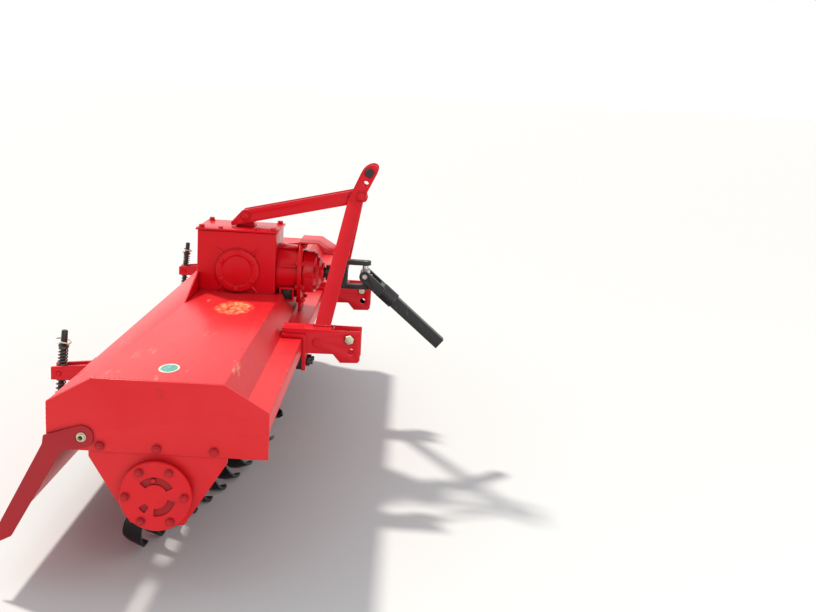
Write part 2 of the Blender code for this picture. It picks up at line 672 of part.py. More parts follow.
def build_brace():
    rise = math.atan2(BRACE_FRONT[1] - BRACE_REAR[1], BRACE_FRONT[0] - BRACE_REAR[0])
    length = math.hypot(BRACE_FRONT[1] - BRACE_REAR[1], BRACE_FRONT[0] - BRACE_REAR[0])
    half = BRACE_HALF
    outline = ((-0.050, -half), (length + 0.012, -half), (length + 0.018, -half + 0.006),
               (length + 0.018, half), (-0.006, half), (-0.050, -half * 0.45))
    turn = Matrix.Translation((0, *BRACE_REAR)) @ Matrix.Rotation(rise, 4, "X")
    high = MAST_INNER - GAP
    low = high - BRACE_THICK
    for name, sign in SIDES:
        brace = shape("brace_" + name, mirrored(prism(outline, low, high, turn), sign), PAINT, MACHINE)
        cut(brace, *[mirrored(rod(low - 0.01, high + 0.01, BRACE_BOLT_RADIUS + RUN, "X", (0, *at), 16), sign)
                     for at in (BRACE_FRONT, BRACE_REAR)])
    spacer = low - GAP
    head = MAST_INNER + MAST_PLATE + GAP
    bolt = shape("brace_front_bolt", rod(-head - 0.008, head + 0.008, BRACE_BOLT_RADIUS, "X",
                                         (0, *BRACE_FRONT), 16), PAINT, MACHINE)
    join(bolt, rod(-spacer, spacer, 0.016, "X", (0, *BRACE_FRONT), 16),
         rod(head, head + 0.007, 0.013, "X", (0, *BRACE_FRONT), 6),
         rod(-head - 0.007, -head, 0.013, "X", (0, *BRACE_FRONT), 6))
    lid_top = GEARBOX_TOP + GAP + LID_THICK
    rear_y, rear_z = BRACE_REAR
    lug_outline = [(rear_y - 0.030, lid_top + GAP), (rear_y + 0.030, lid_top + GAP),
                   *arc(BRACE_REAR, 0.020, 0, 180, 6)]
    lug = shape("brace_lug", prism(lug_outline, -spacer, spacer), CASTING, MACHINE)
    edge = high + GAP
    join(lug, rod(-edge - 0.008, edge + 0.008, BRACE_BOLT_RADIUS, "X", (0, *BRACE_REAR), 16),
         rod(edge, edge + 0.007, 0.013, "X", (0, *BRACE_REAR), 6),
         rod(-edge - 0.007, -edge, 0.013, "X", (0, *BRACE_REAR), 6))


# ---- rotor -------------------------------------------------------------------------
def build_rotor(rotor_axis):
    start = CASE_HALF_WIDTH + CASE_BOSS + HUB_GAP
    stub = CASE_HALF_WIDTH + CASE_BOSS - STUB_DEPTH + 0.002
    end = PLATE_INNER - BEARING_PLATE - 0.006
    tube = ((stub, 0), (stub, JOURNAL_RADIUS), (start, JOURNAL_RADIUS), (start, TUBE_RADIUS),
            (end, TUBE_RADIUS), (end, JOURNAL_RADIUS), (PLATE_INNER - 0.001, JOURNAL_RADIUS),
            (PLATE_INNER - 0.001, 0))
    for name, sign in SIDES:
        shape("rotor_tube_" + name, mirrored(turned(tube, "X", (0, 0, 0)), sign), DARK, rotor_axis)
        for gang in range(DISCS_PER_SIDE // DISCS_PER_GANG):
            discs = range(gang * DISCS_PER_GANG, (gang + 1) * DISCS_PER_GANG)
            build_gang(f"blade_gang_{name}_{DISCS_PER_SIDE // DISCS_PER_GANG - gang}", sign, discs,
                       rotor_axis)


def build_gang(name, sign, discs, rotor_axis):
    """A sleeve with its discs, each with its blades."""
    places = [OUTER_DISC - disc * DISC_PITCH for disc in discs]
    bore = TUBE_RADIUS + RUN
    half = DISC_THICK / 2
    low = min(places) - SLEEVE_PAST_DISC
    high = max(places) + SLEEVE_PAST_DISC
    profile = [(low, bore), (low, SLEEVE_RADIUS)]
    for x in sorted(places):
        profile += [(x - half, SLEEVE_RADIUS), (x - half, DISC_RADIUS), (x + half, DISC_RADIUS),
                    (x + half, SLEEVE_RADIUS)]
    profile += [(high, SLEEVE_RADIUS), (high, bore)]
    gang = shape(name, mirrored(turned(profile, "X", (0, 0, 0), closed=True), sign), DARK, rotor_axis)
    for disc, x in zip(discs, places):
        for row, angle, side in blade_table():
            if row != disc:
                continue
            bm = bmesh.new()
            skin(bm, [[bm.verts.new(corner + Vector((x, 0, 0))) for corner in loop]
                      for loop in blade_corners(angle, side)])
            join(gang, mirrored(bm, sign))


# ---- trailing board, spring rods and their brackets --------------------------------
def build_board(board_axis):
    line = board_line()
    inside = HALF_WIDTH + GAP
    board = shape("trailing_board", folded(line, BOARD_SHEET, -HALF_WIDTH, HALF_WIDTH),
                  PAINT, board_axis)
    corner = math.hypot(HOOD_HALF_DEPTH + BOARD_HINGE[0], BOARD_HINGE[1] - END_PLATE_BOTTOM)
    sweep = corner + BOARD_SWEEP_CLEAR
    for sign in (1, -1):
        cut(board, mirrored(rod(HALF_WIDTH - END_PLATE - BOARD_SWEEP_CLEAR, HALF_WIDTH + 0.02, sweep,
                                "X", (0, *BOARD_HINGE), 48), sign))
    lug_line = lug_outline()
    for sign in (1, -1):
        for dx in (-1, 1):
            low = ROD_X + dx * (EYE_RADIUS * 0.62 + 0.004) - LUG_THICK / 2
            join(board, mirrored(prism(lug_line, low, low + LUG_THICK), sign))
        join(board, mirrored(rod(ROD_X - 0.022, ROD_X + 0.022, LUG_PIN_RADIUS, "X",
                                 (0, *ROD_EYE_AT), 16), sign))
    shoulder = along(BOARD_TOP, BOARD_SLOPE - 90, BOARD_RIB)
    arm = [*arc(BOARD_HINGE, BOARD_ARM_RADIUS, -60, 112, 10),
           (-HOOD_HALF_DEPTH - 0.004, BOARD_HINGE[1] - 0.001),
           (-HOOD_HALF_DEPTH - 0.007, shoulder[1] + 0.004),
           BOARD_TAIL,
           BOARD_FOOT,
           (BOARD_TOP[0] + 0.003, END_PLATE_BOTTOM - 0.002)]
    for name, sign in SIDES:
        ear = shape("board_arm_" + name,
                    mirrored(prism(arm, inside, HALF_WIDTH + BOARD_ARM_THICK), sign), PAINT, board_axis)
        cut(ear, mirrored(rod(HALF_WIDTH - 0.01, HALF_WIDTH + 0.03, HINGE_PIN_RADIUS + RUN, "X",
                              (0, *BOARD_HINGE), 16), sign))


def board_line():
    """The board's front face, from its top edge to the cut across its arms' ends."""
    foot = along(BOARD_FOOT, BOARD_SLOPE, BOARD_RECESS / math.tan(END_CUT) - GAP)
    return offset_line((BOARD_TOP, foot), BOARD_RECESS)


def lug_outline():
    """A lug from the board's rear face to the rod's eye."""
    eye_z = ROD_EYE_AT[1]
    (top_y, top_z), (foot_y, foot_z) = board_line()
    roots = []
    for z in (eye_z + 0.034, eye_z - 0.040):
        share = (z - top_z) / (foot_z - top_z)
        roots.append((top_y + share * (foot_y - top_y) - 0.002, z))
    return [roots[0], *arc(ROD_EYE_AT, 0.013, 80, 270, 7), roots[1]]


def rod_frame():
    """Placement whose +Z runs up a spring rod from its eye, on the right side."""
    eye = Vector((ROD_X, *ROD_EYE_AT))
    collar = Vector((ROD_X, *COLLAR_AT))
    lean = math.atan2(collar.y - eye.y, collar.z - eye.z)
    return Matrix.Translation(eye) @ Matrix.Rotation(-lean, 4, "X"), (collar - eye).length


def build_springs(collar_axes, rod_axes):
    frame, reach = rod_frame()
    origin = (0, 0, 0)
    arm = ((-HOOD_HALF_DEPTH - GAP, 0.1545), (-HOOD_HALF_DEPTH - GAP, 0.2000),
           (-0.361, 0.1886), (-0.361, 0.1545))
    arm_inner = COLLAR_HALF + 0.0035
    pivot = 0.006
    for name, sign in SIDES:
        bracket = shape("spring_bracket_" + name, mirrored(
            box((ROD_X - 0.036, -HOOD_HALF_DEPTH - GAP - 0.006, 0.1525),
                (ROD_X + 0.036, -HOOD_HALF_DEPTH - GAP, 0.2050)), sign), PAINT, MACHINE)
        for low in (ROD_X + arm_inner, ROD_X - arm_inner - BRACKET_ARM_THICK):
            join(bracket, mirrored(prism(arm, low, low + BRACKET_ARM_THICK), sign))
            cut(bracket, mirrored(rod(low - 0.01, low + 0.02, pivot + RUN, "X", (0, *COLLAR_AT), 16), sign))

        collar = box((-COLLAR_HALF, -COLLAR_HALF, reach - 0.0145), (COLLAR_HALF, COLLAR_HALF, reach + 0.0145))
        bore = rod(reach - 0.03, reach + 0.03, ROD_RADIUS + RUN, "Z", origin, 16)
        for bm in (collar, bore):
            bmesh.ops.transform(bm, matrix=frame, verts=bm.verts)
        end = arm_inner + BRACKET_ARM_THICK + 0.002
        block = shape("spring_collar_" + name, mirrored(collar, sign), PAINT, collar_axes[name])
        join(block, mirrored(rod(ROD_X - end, ROD_X + end, pivot, "X", (0, *COLLAR_AT), 16), sign))
        cut(block, mirrored(bore, sign))

        top = reach + ROD_ABOVE_COLLAR
        thin = ROD_RADIUS
        wide = SPRING_RADIUS + 0.002
        seat_top = SPRING_SEAT + SPRING_SEAT_THICK
        spring_low = reach + COLLAR_HALF + 0.0005
        shank = turned(((0.010, 0), (0.010, thin), (SPRING_SEAT, thin), (SPRING_SEAT, wide),
                        (seat_top, wide), (seat_top, thin), (spring_low, thin),
                        (spring_low, SPRING_RADIUS), (top - 0.044, SPRING_RADIUS), (top - 0.044, wide),
                        (top - 0.040, wide), (top - 0.040, thin), (top, thin), (top, 0)),
                       "Z", origin, segments=16)
        eye = rod(-0.008, 0.008, EYE_RADIUS, "X", origin)
        hole = rod(-0.02, 0.02, EYE_BORE, "X", origin, 20)
        spring = ring(seat_top + GAP, reach - COLLAR_HALF - 0.0005, ROD_RADIUS + RUN, SPRING_RADIUS,
                      "Z", origin, 16)
        for bm in (shank, eye, hole, spring):
            bmesh.ops.transform(bm, matrix=frame, verts=bm.verts)
        steel = shape("spring_rod_" + name, mirrored(shank, sign), DARK, rod_axes[name])
        join(steel, mirrored(eye, sign))
        cut(steel, mirrored(hole, sign))
        shape("lower_spring_" + name, mirrored(spring, sign), DARK, rod_axes[name])


def main():
    build_hood()
    build_ends()
    build_beam()
    build_gearbox()
    build_lower_case()
    build_input()
    build_hitch()
    build_mast()
    build_brace()
    build_rotor(empty("rotor_axis", MACHINE, (0, 0, 0)))
    input_axis = empty("input_axis", MACHINE, (0, NOSE_FRONT, INPUT_HEIGHT))
    cross_axis = empty("cross_axis", input_axis, (0, CROSS_Y - NOSE_FRONT, 0))
    shaft_axis = empty("shaft_axis", cross_axis, (0, 0, 0))
    build_drive(input_axis, cross_axis, shaft_axis)
    build_board(empty("board_axis", MACHINE, (0, *BOARD_HINGE)))
    collar_axes = {name: empty("collar_axis_" + name, MACHINE, (sign * ROD_X, *COLLAR_AT))
                   for name, sign in SIDES}
    rod_axes = {name: empty("rod_axis_" + name, collar_axes[name], (0, 0, 0)) for name, sign in SIDES}
    build_springs(collar_axes, rod_axes)


main()
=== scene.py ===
import json
import math

import bmesh
import bpy
from mathutils import Matrix, Vector


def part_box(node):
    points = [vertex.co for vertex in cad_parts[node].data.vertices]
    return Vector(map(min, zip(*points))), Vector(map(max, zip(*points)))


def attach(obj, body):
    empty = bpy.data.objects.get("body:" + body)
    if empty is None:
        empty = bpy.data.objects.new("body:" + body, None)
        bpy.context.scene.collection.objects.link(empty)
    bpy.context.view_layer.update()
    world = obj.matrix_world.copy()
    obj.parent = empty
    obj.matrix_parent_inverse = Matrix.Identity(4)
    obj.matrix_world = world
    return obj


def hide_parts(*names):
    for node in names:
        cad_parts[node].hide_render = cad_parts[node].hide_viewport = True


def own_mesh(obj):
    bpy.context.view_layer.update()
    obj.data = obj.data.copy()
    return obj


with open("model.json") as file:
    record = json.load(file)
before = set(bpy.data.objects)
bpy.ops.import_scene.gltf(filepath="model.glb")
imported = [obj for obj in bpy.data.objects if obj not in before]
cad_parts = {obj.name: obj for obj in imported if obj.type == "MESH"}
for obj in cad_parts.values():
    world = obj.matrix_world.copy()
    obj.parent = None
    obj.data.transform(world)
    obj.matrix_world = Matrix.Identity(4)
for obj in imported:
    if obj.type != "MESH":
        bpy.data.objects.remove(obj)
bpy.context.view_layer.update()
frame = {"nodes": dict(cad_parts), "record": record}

print("frame loaded,", len(frame["nodes"]), "nodes")

tubeLow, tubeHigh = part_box("rotor_tube_right")
# every place below is given from the rotor's axis, in metres
rotorAxis = Vector((0, (tubeLow[1] + tubeHigh[1]) / 2, (tubeLow[2] + tubeHigh[2]) / 2))
sides = (("right", 1), ("left", -1))
endFace = 1.160      # outer face of an end plate


# camera, floor and light
view = {
    "place": (3.500, 0.5396, 0.965),
    "right": (-0.00502631, 0.9983565, 0.05708797),
    "up": (-0.20383777, -0.05691296, 0.97734901),
    "back": (0.97899178, -0.00672423, 0.20378883),
    "lens": 47.3,
    "sensor": 36.0,
}


def addCamera():
    data = bpy.data.cameras.new("camera")
    data.lens, data.sensor_width = view["lens"], view["sensor"]
    data.clip_start, data.clip_end = 0.05, 100
    camera = bpy.data.objects.new("camera", data)
    bpy.context.scene.collection.objects.link(camera)
    turn = Matrix((view["right"], view["up"], view["back"])).transposed().to_4x4()
    camera.matrix_world = Matrix.Translation(Vector(view["place"]) + rotorAxis) @ turn
    bpy.context.scene.camera = camera


# shader arithmetic
class Wire:
    # a node socket that can be added, multiplied and mixed like a number
    def __init__(self, tree, socket=None):
        self.tree = tree
        self.socket = socket

    def node(self, kind, settings=None, values=None, out=0):
        made = self.tree.nodes.new("ShaderNode" + kind)
        for name, value in (settings or {}).items():
            if name == "stops":
                ramp = made.color_ramp
                while len(ramp.elements) < len(value):
                    ramp.elements.new(0.5)
                for element, (place, shade) in zip(ramp.elements, value):
                    element.position, element.color = place, (*shade, 1)
            else:
                setattr(made, name, value)
        for name, value in (values or {}).items():
            if isinstance(value, Wire):
                self.tree.links.new(value.socket, made.inputs[name])
            else:
                made.inputs[name].default_value = value
        return Wire(self.tree, made.outputs[out])

    def calc(self, operation, *parts):
        return self.node("Math", {"operation": operation}, dict(enumerate(parts)))

    def __add__(self, other):
        return self.calc("ADD", self, other)

    __radd__ = __add__

    def __sub__(self, other):
        return self.calc("SUBTRACT", self, other)

    def __rsub__(self, other):
        return self.calc("SUBTRACT", other, self)

    def __mul__(self, other):
        return self.calc("MULTIPLY", self, other)

    __rmul__ = __mul__

    def __truediv__(self, other):
        return self.calc("DIVIDE", self, other)

    def __pow__(self, other):
        return self.calc("POWER", self, other)

    def within(self, low, high, start=0.0, end=1.0):
        # start below low, end above high, smooth between
        names = {"Value": self, "From Min": low, "From Max": high, "To Min": start, "To Max": end}
        return self.node("MapRange", {"interpolation_type": "SMOOTHSTEP"}, names)

    def blend(self, first, second):
        # colours: first where self is 0, second where it is 1
        sockets = {0: self, 6: first, 7: second}
        sockets = {place: value if isinstance(value, Wire) else (*value, 1) for place,
                   value in sockets.items()}
        return self.node("Mix", {"data_type": "RGBA"}, sockets, out=2)


def tint(red, green, blue):
    # a screen colour, 0 to 255, in the renderer's own numbers
    def straight(part):
        part = part / 255
        return part / 12.92 if part <= 0.04045 else ((part + 0.055) / 1.055) ** 2.4
    return straight(red), straight(green), straight(blue)


def newMaterial(name):
    material = bpy.data.materials.new(name)
    material.use_nodes = True
    material.node_tree.nodes.clear()
    tree = material.node_tree
    shader = tree.nodes.new("ShaderNodeBsdfPrincipled")
    output = tree.nodes.new("ShaderNodeOutputMaterial")
    tree.links.new(shader.outputs[0], output.inputs[0])
    return material, Wire(tree), shader


def feed(tools, shader, **sockets):
    for name, value in sockets.items():
        name = name.replace("_", " ")
        if isinstance(value, Wire):
            tools.tree.links.new(value.socket, shader.inputs[name])
        else:
            shader.inputs[name].default_value = value


def spot(tools, centre=(0, 0, 0), scale=(1, 1, 1), turn=(0, 0, 0)):
    # object coordinates, centred and stretched
    place = tools.node("TexCoord", out=3)
    moved = tools.node("VectorMath", {"operation": "SUBTRACT"},
                       {0: place, 1: tuple(Vector(centre) + rotorAxis)})
    return tools.node("Mapping", None, {"Vector": moved, "Rotation": turn, "Scale": scale})


def noise(tools, scale, detail=3.0, rough=0.55, place=None, stretch=(1, 1, 1)):
    place = place or spot(tools, scale=stretch)
    return tools.node("TexNoise", None, {"Vector": place, "Scale": scale, "Detail": detail,
                                         "Roughness": rough})


def part(tools, vector, which):
    return tools.node("SeparateXYZ", None, {0: vector}, out=which)


def edgeMask(tools, radius):
    # 1 where a corner lies within the radius, 0 on open faces
    rounded = tools.node("Bevel", {"samples": 4}, {"Radius": radius})
    plain = tools.node("NewGeometry", out=3)
    same = tools.node("VectorMath", {"operation": "DOT_PRODUCT"}, {0: rounded, 1: plain}, out=1)
    return (1 - same).within(0.02, 0.25)


def seamShadeMask(tools, reach):
    # painted shade: 1 deep in a joint or corner, where little light reaches, 0 in the open
    openness = tools.node("AmbientOcclusion", {"samples": 6}, {"Distance": reach}, out=1)
    return openness.within(0.30, 0.86, 1.0, 0.0)


def oval(tools, centre, half, turn=0.0):
    # 0 at the centre, 1 on the rim, measured over the hood's top
    place = spot(tools, centre, (1 / half[0], 1 / half[1], 0), (0, 0, turn))
    return tools.node("VectorMath", {"operation": "LENGTH"}, {0: place}, out=1)


paint = {
    "red": tint(218, 18, 28),
    "faded": tint(226, 38, 44),
    "deep": tint(206, 6, 22),
    "wornPink": tint(255, 160, 145),
    "grime": tint(96, 38, 36),
    "primer": tint(86, 70, 66),
    "decal": tint(244, 196, 128),
}


def redPaint(name, body, faded, roughness, wear=1.0, scuffed=False, cast=False, shine=0.3, cover=False):
    material, tools, shader = newMaterial(name)
    broad = noise(tools, 2.4, 4)
    fine = noise(tools, 34, 5, 0.62)
    colour = broad.within(0.34, 0.68).blend(body, faded)
    # rubbed grime in long soft strokes
    rubbed = noise(tools, 7, 5, 0.62, stretch=(1, 1.6, 3.2)).within(0.56, 0.78) * fine.within(0.35, 0.7)
    colour = (rubbed * 0.45).blend(colour, paint["grime"])
    rough = roughness + (broad - 0.5) * 0.14 + rubbed * 0.12
    if scuffed:
        # pale scrapes on the top, a few short streaks across the machine
        scrape = noise(tools, 5.5, 6, 0.7, stretch=(1.3, 4.5, 1)).within(0.60, 0.72) * noise(tools, 2.1,
                                                                                             2).within(0.44,
                                                                                                       0.56)
        colour = (scrape * 0.8).blend(colour, paint["wornPink"])
        flakes = noise(tools, 40, 6, 0.74, stretch=(1, 1.7, 1)).within(0.40, 0.62)
        area = oval(tools, (0.335, 0.038, 0), (0.100, 0.060), 0.12).within(0.70, 1.05, 1.0, 0.0)
        colour = (flakes * area * 0.72).blend(colour, paint["decal"])
        rough = rough + scrape * 0.2
    if cover:
        # painted shade darkens the cover's sunk pockets, and a painted shadow darkens the gap behind its rim
        place = spot(tools)
        reach = tools.calc("SQRT", part(tools, place, 1) ** 2 + part(tools, place, 2) ** 2)
        depth = tools.calc("ABSOLUTE", part(tools, place, 0))
        sunk = depth.within(1.1765, 1.1785, 1.0, 0.0) * reach.within(0.047, 0.0485, 1.0, 0.0)
        rimGapShadow = depth.within(1.1655, 1.1675, 1.0, 0.0)
        colour = tools.calc("MAXIMUM", sunk * 0.62, rimGapShadow * 0.9).blend(colour, tint(120, 10, 20))
    # painted shade: a dark red laid into joints and corners
    colour = (seamShadeMask(tools, 0.016) * 0.62).blend(colour, tint(92, 10, 18))
    worn = edgeMask(tools, 0.0022) * fine.within(0.52, 0.64) * wear
    colour = worn.blend(colour, paint["primer"])
    if cast:
        height = noise(tools, 150, 4, 0.65) * 0.6 + noise(tools, 24, 3) * 0.8
        lift = 0.0016
    else:
        height = noise(tools, 210, 2) * 0.25 + noise(tools, 13, 3) * 0.9
        lift = 0.0011
    bump = tools.node("Bump", None, {"Strength": 0.3, "Distance": lift, "Height": height})
    feed(tools, shader, Base_Color=colour, Roughness=rough, Normal=bump, Coat_Weight=0.06,
         Coat_Roughness=0.16, Specular_IOR_Level=shine)
    return material


def metal(name, body, rust, rustAmount, roughness, metallic, lift=0.0006, scratches=0.0):
    material, tools, shader = newMaterial(name)
    patch = noise(tools, 13, 6, 0.66)
    grain = noise(tools, 160, 4, 0.6)
    rusty = patch.within(0.66 - rustAmount, 0.76 - rustAmount * 0.5) * grain.within(0.3, 0.55)
    colour = rusty.blend(body, rust)
    if scratches:
        bare = noise(tools, 60, 4, 0.7, stretch=(1, 1, 0.2)).within(0.62, 0.7) * scratches
        bare = tools.calc("MAXIMUM", bare, edgeMask(tools, 0.0018) * grain.within(0.45, 0.6) * 0.8)
        colour = bare.blend(colour, tint(128, 124, 120))
    bump = tools.node("Bump", None, {"Strength": 0.35, "Distance": lift, "Height": grain + patch})
    feed(tools, shader, Base_Color=colour, Roughness=roughness + rusty * 0.3 + (grain - 0.5) * 0.1,
         Metallic=metallic * (1 - rusty), Normal=bump)
    return material


def stickerMaterial():
    # a blank oval sticker: teal field, pale rim, scratched
    material, tools, shader = newMaterial("tealSticker")
    reach = oval(tools, sticker["centre"], sticker["half"])
    scratch = noise(tools, 60, 5, 0.7, stretch=(1, 3, 1)).within(0.52, 0.62)
    field = (noise(tools, 22, 3).within(0.4, 0.6) * 0.5).blend(tint(40, 150, 140), tint(96, 178, 160))
    colour = reach.within(0.8, 0.86).blend((scratch * 0.55).blend(field, tint(214, 222, 205)),
                                           tint(226, 228, 206))
    feed(tools, shader, Base_Color=colour, Roughness=0.35 + scratch * 0.2)
    return material


sticker = {"centre": (1.045, 0.000, 0.2704), "half": (0.040, 0.024), "thick": 0.0005}
finish = {
    "hoodPaint": redPaint("hoodPaint", paint["red"], paint["faded"], 0.36, scuffed=True),
    "sheetPaint": redPaint("sheetPaint", paint["red"], paint["faded"], 0.4),
    "barPaint": redPaint("barPaint", tint(216, 12, 30), tint(222, 30, 44), 0.36, wear=0.8, shine=0.2),
    "castPaint": redPaint("castPaint", paint["deep"], tint(214, 10, 28), 0.28, wear=0.6, cast=True,
                          shine=0.2),
    "boltPaint": redPaint("boltPaint", tint(200, 18, 30), tint(180, 24, 34), 0.38, wear=0.7),
    "armPaint": redPaint("armPaint", tint(182, 22, 32), tint(168, 34, 42), 0.42, shine=0.25),
    "coverPaint": redPaint("coverPaint", tint(220, 14, 26), tint(224, 26, 36), 0.34, shine=0.26, cover=True),
    "blackPaint": metal("blackPaint", tint(27, 26, 28), tint(84, 62, 50), 0.02, 0.42, 0.0, scratches=0.35),
    "bladeSteel": metal("bladeSteel", tint(24, 23, 26), tint(74, 56, 48), 0.04, 0.4, 0.25, 0.0008, 0.25),
    "zincPlate": metal("zincPlate", tint(206, 200, 172), tint(150, 120, 80), 0.03, 0.34, 0.85),
    "bareSteel": metal("bareSteel", tint(190, 190, 188), tint(130, 100, 78), 0.03, 0.32, 0.9),
    "springSteel": metal("springSteel", tint(92, 84, 78), tint(112, 70, 52), 0.08, 0.38, 0.7),
    "tealSticker": stickerMaterial(),
}
slotFinish = {
    "red_paint": "sheetPaint", "deep_red_casting": "castPaint", "black_paint": "blackPaint",
    "black_steel": "bladeSteel", "zinc_plate": "zincPlate", "bare_steel": "bareSteel",
    "spring_steel": "springSteel",
}
slotOf = {entry["node"]: entry["material_slot"] for entry in frame["record"]["subparts"]}
print("finishes made:", len(finish))


# making shapes
def addPiece(name, form, body, look, replaced=(), shift=True, sharp=32, fresh=True):
    if shift:
        bmesh.ops.translate(form, vec=rotorAxis, verts=form.verts)
    if fresh:
        bmesh.ops.recalc_face_normals(form, faces=form.faces)
    mesh = bpy.data.meshes.new(name)
    form.to_mesh(mesh)
    form.free()
    if "custom_normal" in mesh.attributes:
        mesh.attributes.remove(mesh.attributes["custom_normal"])
    mesh.shade_smooth()
    mesh.set_sharp_from_angle(angle=math.radians(sharp))
    mesh.materials.clear()
    mesh.materials.append(finish[look])
    for face in mesh.polygons:
        face.material_index = 0
    piece = bpy.data.objects.new(name, mesh)
    bpy.context.scene.collection.objects.link(piece)
    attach(piece, body)
    if replaced:
        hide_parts(*replaced)
    return piece


def sharpEdges(form, angle):
    return [edge for edge in form.edges if len(edge.link_faces) == 2
            and edge.calc_face_angle(0) > math.radians(angle)]


def bevelled(form, width, segments=2, angle=32):
    bmesh.ops.bevel(form, geom=sharpEdges(form, angle), offset=width, offset_type="OFFSET",
                    affect="EDGES", segments=segments, profile=0.5, material=-1, clamp_overlap=True)
    return form


def nodeForm(node):
    # a clean copy of a CAD node's mesh, in the frame's own coordinates
    form = bmesh.new()
    form.from_mesh(frame["nodes"][node].data)
    bmesh.ops.remove_doubles(form, verts=form.verts, dist=1e-5)
    bmesh.ops.dissolve_limit(form, angle_limit=math.radians(1.0), verts=form.verts, edges=form.edges)
    return form


def soften(node, body, width, look=None, segments=2):
    form = bevelled(nodeForm(node), width, segments)
    slot = slotOf[node]
    return addPiece(node + "_shaped", form, body, look or slotFinish[slot], (node,), shift=False,
                    fresh=False)


def pushed(form, grown, vector):
    # move what an extrusion has just made
    fresh = [item for item in grown if isinstance(item, bmesh.types.BMVert)]
    bmesh.ops.translate(form, vec=vector, verts=fresh)


def absorb(form, *others):
    for other in others:
        mesh = bpy.data.meshes.new("scrap")
        other.to_mesh(mesh)
        other.free()
        form.from_mesh(mesh)
        bpy.data.meshes.remove(mesh)
    return form


turns = {"X": Matrix.Rotation(math.pi / 2, 4, "Y"), "Y": Matrix.Rotation(-math.pi / 2, 4, "X"),
         "Z": Matrix.Identity(4)}


def spun(profile, axis, centre, steps=48, closed=False):
    # a profile of (along, radius) spun about an axis through a centre
    form = bmesh.new()
    points = [form.verts.new((radius, 0, along)) for along, radius in profile]
    pairs = list(zip(points, points[1:])) + ([(points[-1], points[0])] if closed else [])
    edges = [form.edges.new(pair) for pair in pairs]
    bmesh.ops.spin(form, geom=points + edges, cent=(0, 0, 0), axis=(0, 0, 1), angle=math.tau,
                   steps=steps, use_merge=True)
    bmesh.ops.remove_doubles(form, verts=form.verts, dist=1e-6)
    turn = axis if isinstance(axis, Matrix) else turns[axis]
    bmesh.ops.transform(form, matrix=Matrix.Translation(centre) @ turn, verts=form.verts)
    return form


def slab(low, high, rounding=0.0, segments=2):
    # a block from corner to corner with its edges rounded
    form = bmesh.new()
    size = Vector(high) - Vector(low)
    bmesh.ops.create_cube(form, size=1.0)
    bmesh.ops.scale(form, vec=size, verts=form.verts)
    bmesh.ops.translate(form, vec=(Vector(low) + Vector(high)) / 2, verts=form.verts)
    return bevelled(form, rounding, segments) if rounding else form


def lofted(outline, frames):
    # an outline carried through a row of placements
    form = bmesh.new()
    ring = [form.verts.new(frames[0] @ Vector((u, v, 0))) for u, v in outline]
    edges = [form.edges.new(pair) for pair in zip(ring, ring[1:] + ring[:1])]
    form.faces.new(ring)
    for before, after in zip(frames, frames[1:]):
        grown = bmesh.ops.extrude_edge_only(form, edges=edges)["geom"]
        moved = {item for item in grown if isinstance(item, bmesh.types.BMVert)}
        edges = [item for item in grown if isinstance(item, bmesh.types.BMEdge)
                 and item.verts[0] in moved and item.verts[1] in moved]
        bmesh.ops.transform(form, matrix=after @ before.inverted(), verts=list(moved))
    bmesh.ops.contextual_create(form, geom=edges)
    bmesh.ops.recalc_face_normals(form, faces=form.faces)
    return form


def circle(radius, count):
    return [(radius * math.cos(math.tau * i / count), radius * math.sin(math.tau * i / count))
            for i in range(count)]


def pathFrames(points, sizes=None, lead=(1, 0, 0)):
    # placements along a path of points, without twist
    points = [Vector(point) for point in points]
    across = Vector(lead)
    made = []
    for i, point in enumerate(points):
        ahead = (points[min(i + 1, len(points) - 1)] - points[max(i - 1, 0)]).normalized()
        across = (across - ahead * across.dot(ahead)).normalized()
        size = sizes[i] if sizes else 1.0
        turn = Matrix((across, ahead.cross(across), ahead)).transposed().to_4x4()
        made.append(Matrix.Translation(point) @ turn @ Matrix.Diagonal((size, size, 1, 1)))
    return made


def wireForm(points, radius, count=8, sizes=None, lead=(1, 0, 0)):
    return lofted(circle(radius, count), pathFrames(points, sizes, lead))


def coil(radius, wire, low, high, turnsCount, steps=16, sideCount=8):
    # a spring about Z with closed end turns
    total = int(turnsCount * steps)
    points = []
    for i in range(total + 1):
        turn = i / steps
        share = max(0.0, min(1.0, (turn - 0.8) / (turnsCount - 1.6)))
        z = low + wire + (high - low - 2 * wire) * share
        points.append((radius * math.cos(math.tau * turn), radius * math.sin(math.tau * turn), z))
    return wireForm(points, wire, sideCount, lead=(1, 0, 0))


def bead(start, end, size, seed=0.0, pitch=0.006):
    # a weld bead from point to point, rippled along its length
    start, end = Vector(start), Vector(end)
    count = max(4, int((end - start).length / pitch * 2))
    points = [start.lerp(end, i / count) for i in range(count + 1)]
    sizes = [0.82 + 0.18 * (i % 2) + 0.12 * math.sin(i * 1.7 + seed) for i in range(count + 1)]
    lead = (0, 0, 1) if abs((end - start).normalized().z) < 0.9 else (1, 0, 0)
    return wireForm(points, size, 6, sizes, lead)


def facing(place, direction):
    # placement whose +Z points along a direction
    turn = Vector(direction).to_track_quat("Z", "X").to_matrix().to_4x4()
    return Matrix.Translation(place) @ turn


